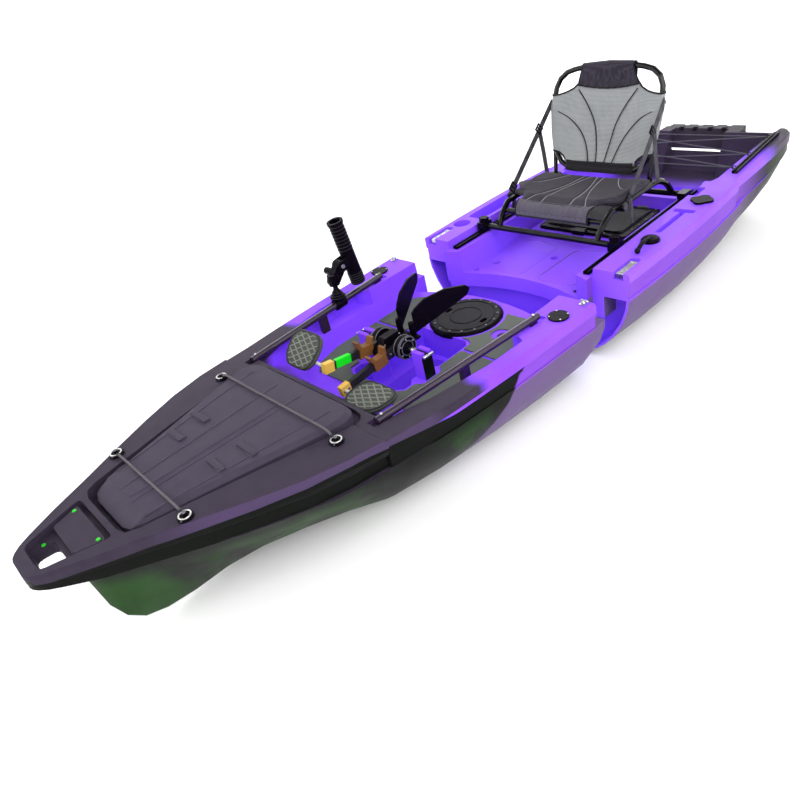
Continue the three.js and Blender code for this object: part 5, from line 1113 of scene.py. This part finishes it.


# Drive: silver pull ends, pin sleeves, grey drum rims as painted highlights, and bolts
def drive_details():
    parts = []
    for sign in (-1, 1):
        spot, reach = Vector((PIVOT.x, sign * 0.145, PIVOT.z)), Vector((0.019, 0, 0))
        parts.append(rod("pull", spot - reach, spot + reach, 0.0049))
        sleeve = [(PIVOT.x, sign * y, PIVOT.z) for y in (0.0635, 0.0965)]
        parts.append(rod("pin", *sleeve, 0.0068))
    group("drive_pin_metal", parts, "drive", STEEL, "steel")
    # Painted highlights: thin grey rings on the black drums stand for the highlights on their rims
    rims = []
    for sign in (-1, 1):
        for radius, at in ((0.0335, 0.0622), (0.022, 0.0624), (0.0352, 0.041), (0.0352, 0.059)):
            rims.append(hoop("rim", (PIVOT.x, sign * at, PIVOT.z), radius, 0.0012, (0, 1, 0)))
    group("drum_rims_painted_highlight", rims, "drive", GREY, "black_plastic")
    spots = []
    for sign in (-1, 1):
        for k in range(6):
            a = math.pi * (k + 0.5) / 3
            spot = Vector((PIVOT.x + 0.028 * math.cos(a), sign * 0.0625, PIVOT.z + 0.028 * math.sin(a)))
            spots.append((spot, (0, sign, 0)))
        spots += [(front(x, sign * 14.2, z), (0, sign, 0)) for x, z in ((446, 318), (452, 286), (386, 326))]
    fasteners("drive_bolts", spots, 0.0034, 0.0016, "drive", STEEL, "steel")
    for side, sign in SIDES:
        arm = DRIVE_TURNS[side][0]
        spots = []
        for along in (0.03, 0.045, 0.212, 0.228):
            spot = PIVOT + about_y((along, 0, 0), arm)
            out = 0.0352 if along < 0.204 else 0.0372
            spots.append((Vector((spot.x, sign * out, spot.z)), (0, sign, 0)))
        fasteners(f"crank_bolts_{side}", spots, 0.0042, 0.002, f"crank_{side}", STEEL, "steel")
        lip = []
        for share in (0.1, 0.9):
            spot = PIVOT + about_y((0.062 + 0.05 * share, 0, 0.0175), arm)
            lip.append(rod("lip", (spot.x, sign * 0.0145, spot.z), (spot.x, sign * 0.0415, spot.z), 0.0022))
        group(f"clip_beads_{side}", lip, f"clip_{side}", FINISHES["clip"], "clip")


def laid_heads(name, node, places, lift, size, body, finish=STEEL):
    """Fastener heads of a (radius, height) where (x, y) places meet the top of a node"""
    top = top_of(node)
    spots = [top.under(x, y, lift) for x, y in places]
    slot = "steel" if finish is STEEL else "black_plastic"
    fasteners(name, [(spot, UP) for spot in spots if spot], *size, body, finish, slot)


def spread_round(x, y, radius, count):
    """Even places on a circle, the first half a step on from straight ahead"""
    turns = [2 * math.pi * (k + 0.5) / count for k in range(count)]
    return [(x + radius * math.cos(a), y + radius * math.sin(a)) for a in turns]


# Hatches: rings, screws and hinges
def hatch_details():
    lid = top_of("front_hatch_lid")
    centre = front(92, 0, 0)
    rings = []
    for radius in (0.112, 0.094, 0.052):
        spot = lid.under(centre.x + radius * 0.7, centre.y + radius * 0.714)
        rings.append(hoop("ring", (centre.x, 0, spot.z), radius, 0.0016, count=72))
    group("hatch_rings", rings, "front_hatch", PLASTIC, "black_plastic")
    places = spread_round(centre.x, 0, 0.1035, 16)
    laid_heads("hatch_screws", "front_hatch_lid", places, 0.0008, (0.0042, 0.0018), "front_hatch", GREY)
    lid, rear_x = top_of("rear_hatch_lid"), -1.1275
    rings = []
    for radius in (0.056, 0.038):
        spot = lid.under(rear_x + radius * 0.7, radius * 0.714)
        rings.append(hoop("ring", (rear_x, 0, spot.z), radius, 0.0014, count=56))
    group("rear_hatch_rings", rings, "rear_hatch", PLASTIC, "black_plastic")
    places = spread_round(rear_x, 0, 0.047, 8)
    laid_heads("rear_hatch_screws", "rear_hatch_lid", places, 0.0008, (0.0038, 0.0016), "rear_hatch", GREY)
    lid = top_of("rect_hatch_lid")
    places = [(x, -0.165 + 0.066 * k) for k in range(6) for x in (-0.7565, -0.5005)]
    places += [(x, y) for x in (-0.71, -0.66, -0.61, -0.56) for y in (0.176, -0.176)]
    laid_heads("rect_hatch_screws", "rect_hatch_lid", places, 0.0008, (0.0042, 0.0018), "rect_hatch", GREY)
    bead = [(-0.738, -0.155), (-0.738, 0.155), (-0.518, 0.155), (-0.518, -0.155)]
    path = []
    for k, (x, y) in enumerate(bead):
        nx, ny = bead[(k + 1) % 4]
        path += [(x + (nx - x) * t, y + (ny - y) * t) for t in (0.08, 0.3, 0.5, 0.7, 0.92)]
    path = smooth_path([lid.under(x, y, 0.0003) for x, y in path], 120, closed=True)
    bead = sweep("rect_hatch_bead", path, ring_section(0.0026, 8, 0.7), closed=True)
    piece("rect_hatch_bead", bead, "rect_hatch", PLASTIC, "black_plastic")
    hinges = []
    for y in (-0.11, 0.11):
        spot = lid.under(-0.7605, y)
        height = spot.z + 0.0035
        hinges.append(rod("knuckle", (-0.7612, y - 0.022, height), (-0.7612, y + 0.022, height), 0.0042))
    group("rect_hatch_hinges", hinges, "rect_hatch", GREY, "black_plastic")


# Cleats, cords over the bow lid and lacing of the tank well
def bow_fittings():
    for row, x, y in (("front", 1177, 184), ("rear", 827, 264)):
        over = 0.3653
        spots = []
        for side, sign in SIDES:
            node = f"bow_cleat_{row}_{side}"
            top = nodes[node]
            height = max(v.co.z for v in top.data.vertices)
            middle = front(x, sign * y, 0)
            spots.append((Vector((middle.x, middle.y, height + 0.0006)), UP))
            base = height - 0.0058
            name = f"cord_ring_{row}_{side}"
            ring = hoop(name, (middle.x, middle.y, base), 0.0132, 0.0022, count=36)
            piece(name, ring, "front_section", STEEL, "steel")
            beads = []
            for a in (0.6, 0.6 + math.pi):
                round_at = Vector((0.0165 * math.cos(a), 0.0165 * math.sin(a), height - 0.0086))
                beads.append((middle + round_at, UP))
            fasteners(f"cleat_rivets_{row}_{side}", beads, 0.0022, 0.0014, "front_section", GREY, "black_plastic")
        fasteners(f"cleat_screws_{row}", spots, 0.0046, 0.0018, "front_section", GREY, "black_plastic")
        half = [(y - 13, base), (y - 39, over), (y / 3, over)]
        line = half + [(0, over)] + [(-across, rise) for across, rise in reversed(half)]
        path = smooth_path([front(x, across, 0) + Vector((0, 0, height_at)) for across, height_at in line], 90)
        line_mesh = sweep(f"bow_line_{row}", path, ring_section(0.003, 10))
        cord = piece(f"bow_line_{row}", line_mesh, "front_section", CORD, "cord")
        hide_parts(f"bow_cord_{row}")
        crimps = [rod("crimp", path[k], path[k + 6], 0.0046) for k in (1, 82)]
        crimp = group(f"bow_line_crimps_{row}", crimps, "front_section", RIM, "cord")


def tank_lines():
    deck = top_of("rear_hull")
    places = [(-1275, 321), (-1060, 332), (-905, 340)]
    knots = []
    for x, y in places:
        for sign in (-1, 1):
            spot = deck.under(rear(x, 0, 0).x, sign * y / 1000)
            knots.append((Vector((rear(x, 0, 0).x, sign * y / 1000, spot.z)), sign))
    height = [knots[2 * k][0].z + 0.0052 for k in range(3)]
    aft, middle, low = [(rear(x, 0, 0).x, y / 1000, z) for (x, y), z in zip(places, height)]

    def run(a, a_sign, b, b_sign, arch):
        start, end = Vector((a[0], a_sign * a[1], a[2])), Vector((b[0], b_sign * b[1], b[2]))
        humps = [Vector((0, 0, arch * math.sin(math.pi * t / 12))) for t in range(12)]
        return [start + (end - start) * t / 12 + hump for t, hump in enumerate(humps)]

    line = run(aft, -1, aft, 1, 0) + run(aft, 1, middle, -1, 0.0034) + run(middle, -1, low, 1, 0.0034)
    line += run(low, 1, low, -1, 0) + run(low, -1, middle, 1, -0.0028) + run(middle, 1, aft, -1, -0.0028)
    line[0] += Vector((0, 0.004, 0))
    line.append(Vector((aft[0] + 0.012, -aft[1] + 0.02, aft[2] - 0.001)))
    cord = piece("tank_lines", sweep("tank_lines", line, ring_section(0.0026, 8)), "rear_section", CORD, "cord")
    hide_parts("tank_lacing")
    rings, bases, heads = [], [], []
    base = [(0, 0), (0.009, 0), (0.009, 0.0015), (0.007, 0.003), (0, 0.003)]
    for spot, sign in knots:
        rings.append(hoop("eye", spot + Vector((0, sign * 0.004, 0.0052)), 0.0065, 0.0016, (1, 0, 0), count=24))
        bases.append(turned_mesh("base", base, spot + Vector((0, sign * 0.009, 0)), sides=20))
        heads.append((spot + Vector((0, sign * 0.009, 0.0036)), UP))
    eyes = group("tank_eyes", rings + bases, "rear_section", PLASTIC, "black_plastic")
    fasteners("tank_eye_screws", heads, 0.003, 0.0014, "rear_section", STEEL, "steel")
    toggle = rod("toggle", (low[0], -0.014, low[2]), (low[0], 0.014, low[2]), 0.006)
    grip = piece("tank_toggle", toggle, "rear_section", RIM, "cord")


# Rod holder: ribs on its tube, collar and ball ring
def holder_details():
    foot = front(141 + 576 * 0.354, -(330 - 51 * 0.354), 414)
    knuckle = foot + Vector((-0.038, 0, 0.037))
    aim = about_y((0, 0, 1), 8)
    rings = []
    for height in (-84, -76, -68, -60, -52, 40, 52, 64, 76, 88, 100, 112, 124):
        centre = knuckle + about_y((-0.044, 0, height / 1000), 8)
        rings.append(hoop("rib", centre, 0.0241, 0.0014 if height < 0 else 0.001, aim, count=40))
    group("holder_ribs", rings, "holder_cup", RIM, "black_plastic")
    teeth = [hoop("tooth", foot + Vector((0, 0, height)), radius, 0.0012, count=32)
             for height, radius in ((-0.056, 0.0253), (-0.049, 0.0204), (-0.041, 0.0154))]
    group("holder_base_rings", teeth, "holder_clamp", RIM, "black_plastic")
    spots = [(knuckle + Vector((0, sign * 0.0186, 0)), (0, sign, 0)) for sign in (-1, 1)]
    fasteners("holder_bolts", spots, 0.0075, 0.003, "holder_cup", STEEL, "steel")


# Bolts and screws along rails, tracks, handles and latches
def deck_hardware():
    for side, sign in SIDES:
        node = f"front_insert_{side}"
        xs, ys = zip(*((v.co.x, v.co.y) for v in nodes[node].data.vertices))
        cx, cy, radius = (min(xs) + max(xs)) / 2, (min(ys) + max(ys)) / 2, (max(xs) - min(xs)) / 2
        places = spread_round(cx, cy, radius - 0.004, 4)
        laid_heads(f"{node}_screws", node, places, 0.0006, (0.0028, 0.0014), "front_section")
        track = top_of(f"aft_track_{side}")
        places = []
        for x in [-0.985 - 0.1 * k for k in range(5)]:
            found = [track.under(x, sign * y / 1000) for y in range(320, 380, 2)]
            found = [f.y for f in found if f]
            if found:
                places.append((x, sum(found) / len(found)))
        node = f"aft_track_{side}"
        laid_heads(f"aft_track_screws_{side}", node, places, 0.0006, (0.0036, 0.0016), "rear_section")
        places = [(x, sign * 0.389) for x in (-0.128, -0.152, -0.186)]
        latch = f"section_latch_{side}"
        laid_heads(f"section_latch_rivets_{side}", latch, places, 0.0005, (0.0036, 0.0015), f"latch_{side}")
        places = [front(141 + 576 * share, sign * (330 - 51 * share), 0).xy for share in (0.03, 0.97)]
        laid_heads(f"rail_bolts_{side}", f"front_rail_{side}", places, 0.0004, (0.0042, 0.002), "front_section")


# Moulded beads and rims on the hull floors
def bead_loop(surface, corners, radius, count=160):
    path = []
    for k, (x, y) in enumerate(corners):
        nx, ny = corners[(k + 1) % len(corners)]
        path += [(x + (nx - x) * t, y + (ny - y) * t) for t in (0.1, 0.3, 0.5, 0.7, 0.9)]
    spots = [surface.under(x, y, -0.0004) for x, y in path]
    middle = sorted(s.z for s in spots if s)[len(spots) // 2]
    spots = [s for s in spots if s and abs(s.z - middle) < 0.004]
    return sweep("bead", smooth_path(spots, count, closed=True), ring_section(radius, 8, 0.7), closed=True)


def floor_beads():
    deck = top_of("rear_hull")
    plans = (([(-60, 36), (-60, 176), (-130, 214), (-300, 214), (-340, 150), (-300, 36)], 0.0032),
             ([(-740, 70), (-740, 250), (-860, 262), (-930, 190), (-920, 100)], 0.003),
             ([(-960, 210), (-900, 276), (-1150, 262), (-1190, 180), (-1120, 110)], 0.003))
    loops = []
    for sign in (-1, 1):
        for plan, radius in plans:
            loops.append(bead_loop(deck, [(rear(x, 0, 0).x, sign * y / 1000) for x, y in plan], radius))
    group("rear_floor_beads", loops, "rear_section", FINISHES["hull_violet"], "hull_violet")
    deck = top_of("bow_hatch_lid")
    lines = []
    for sign in (-1, 1):
        for near, far in ((0.052, 0.034), (0.176, 0.104)):
            runs = [(0.85 + 0.46 * t / 12, sign * (near + (far - near) * t / 12)) for t in range(13)]
            path = [deck.under(x, y, -0.0005) for x, y in runs]
            path = [p for p in path if p and p.z > 0.355]
            lines.append(sweep("line", smooth_path(path, 60), ring_section(0.0036, 8, 0.6)))
    group("bow_lid_lines", lines, "bow_lid", FINISHES["bow_charcoal"], "bow_charcoal")


def nose_inserts():
    places = [(1.405, 0.072), (1.405, -0.072), (1.49, 0.048), (1.49, -0.048)]
    laid_heads("nose_inserts", "front_hull", places, 0.0005, (0.005, 0.002), "front_section", GREEN)



pedal_ribs()
drive_details()
hatch_details()
bow_fittings()
tank_lines()
holder_details()
deck_hardware()
floor_beads()
nose_inserts()
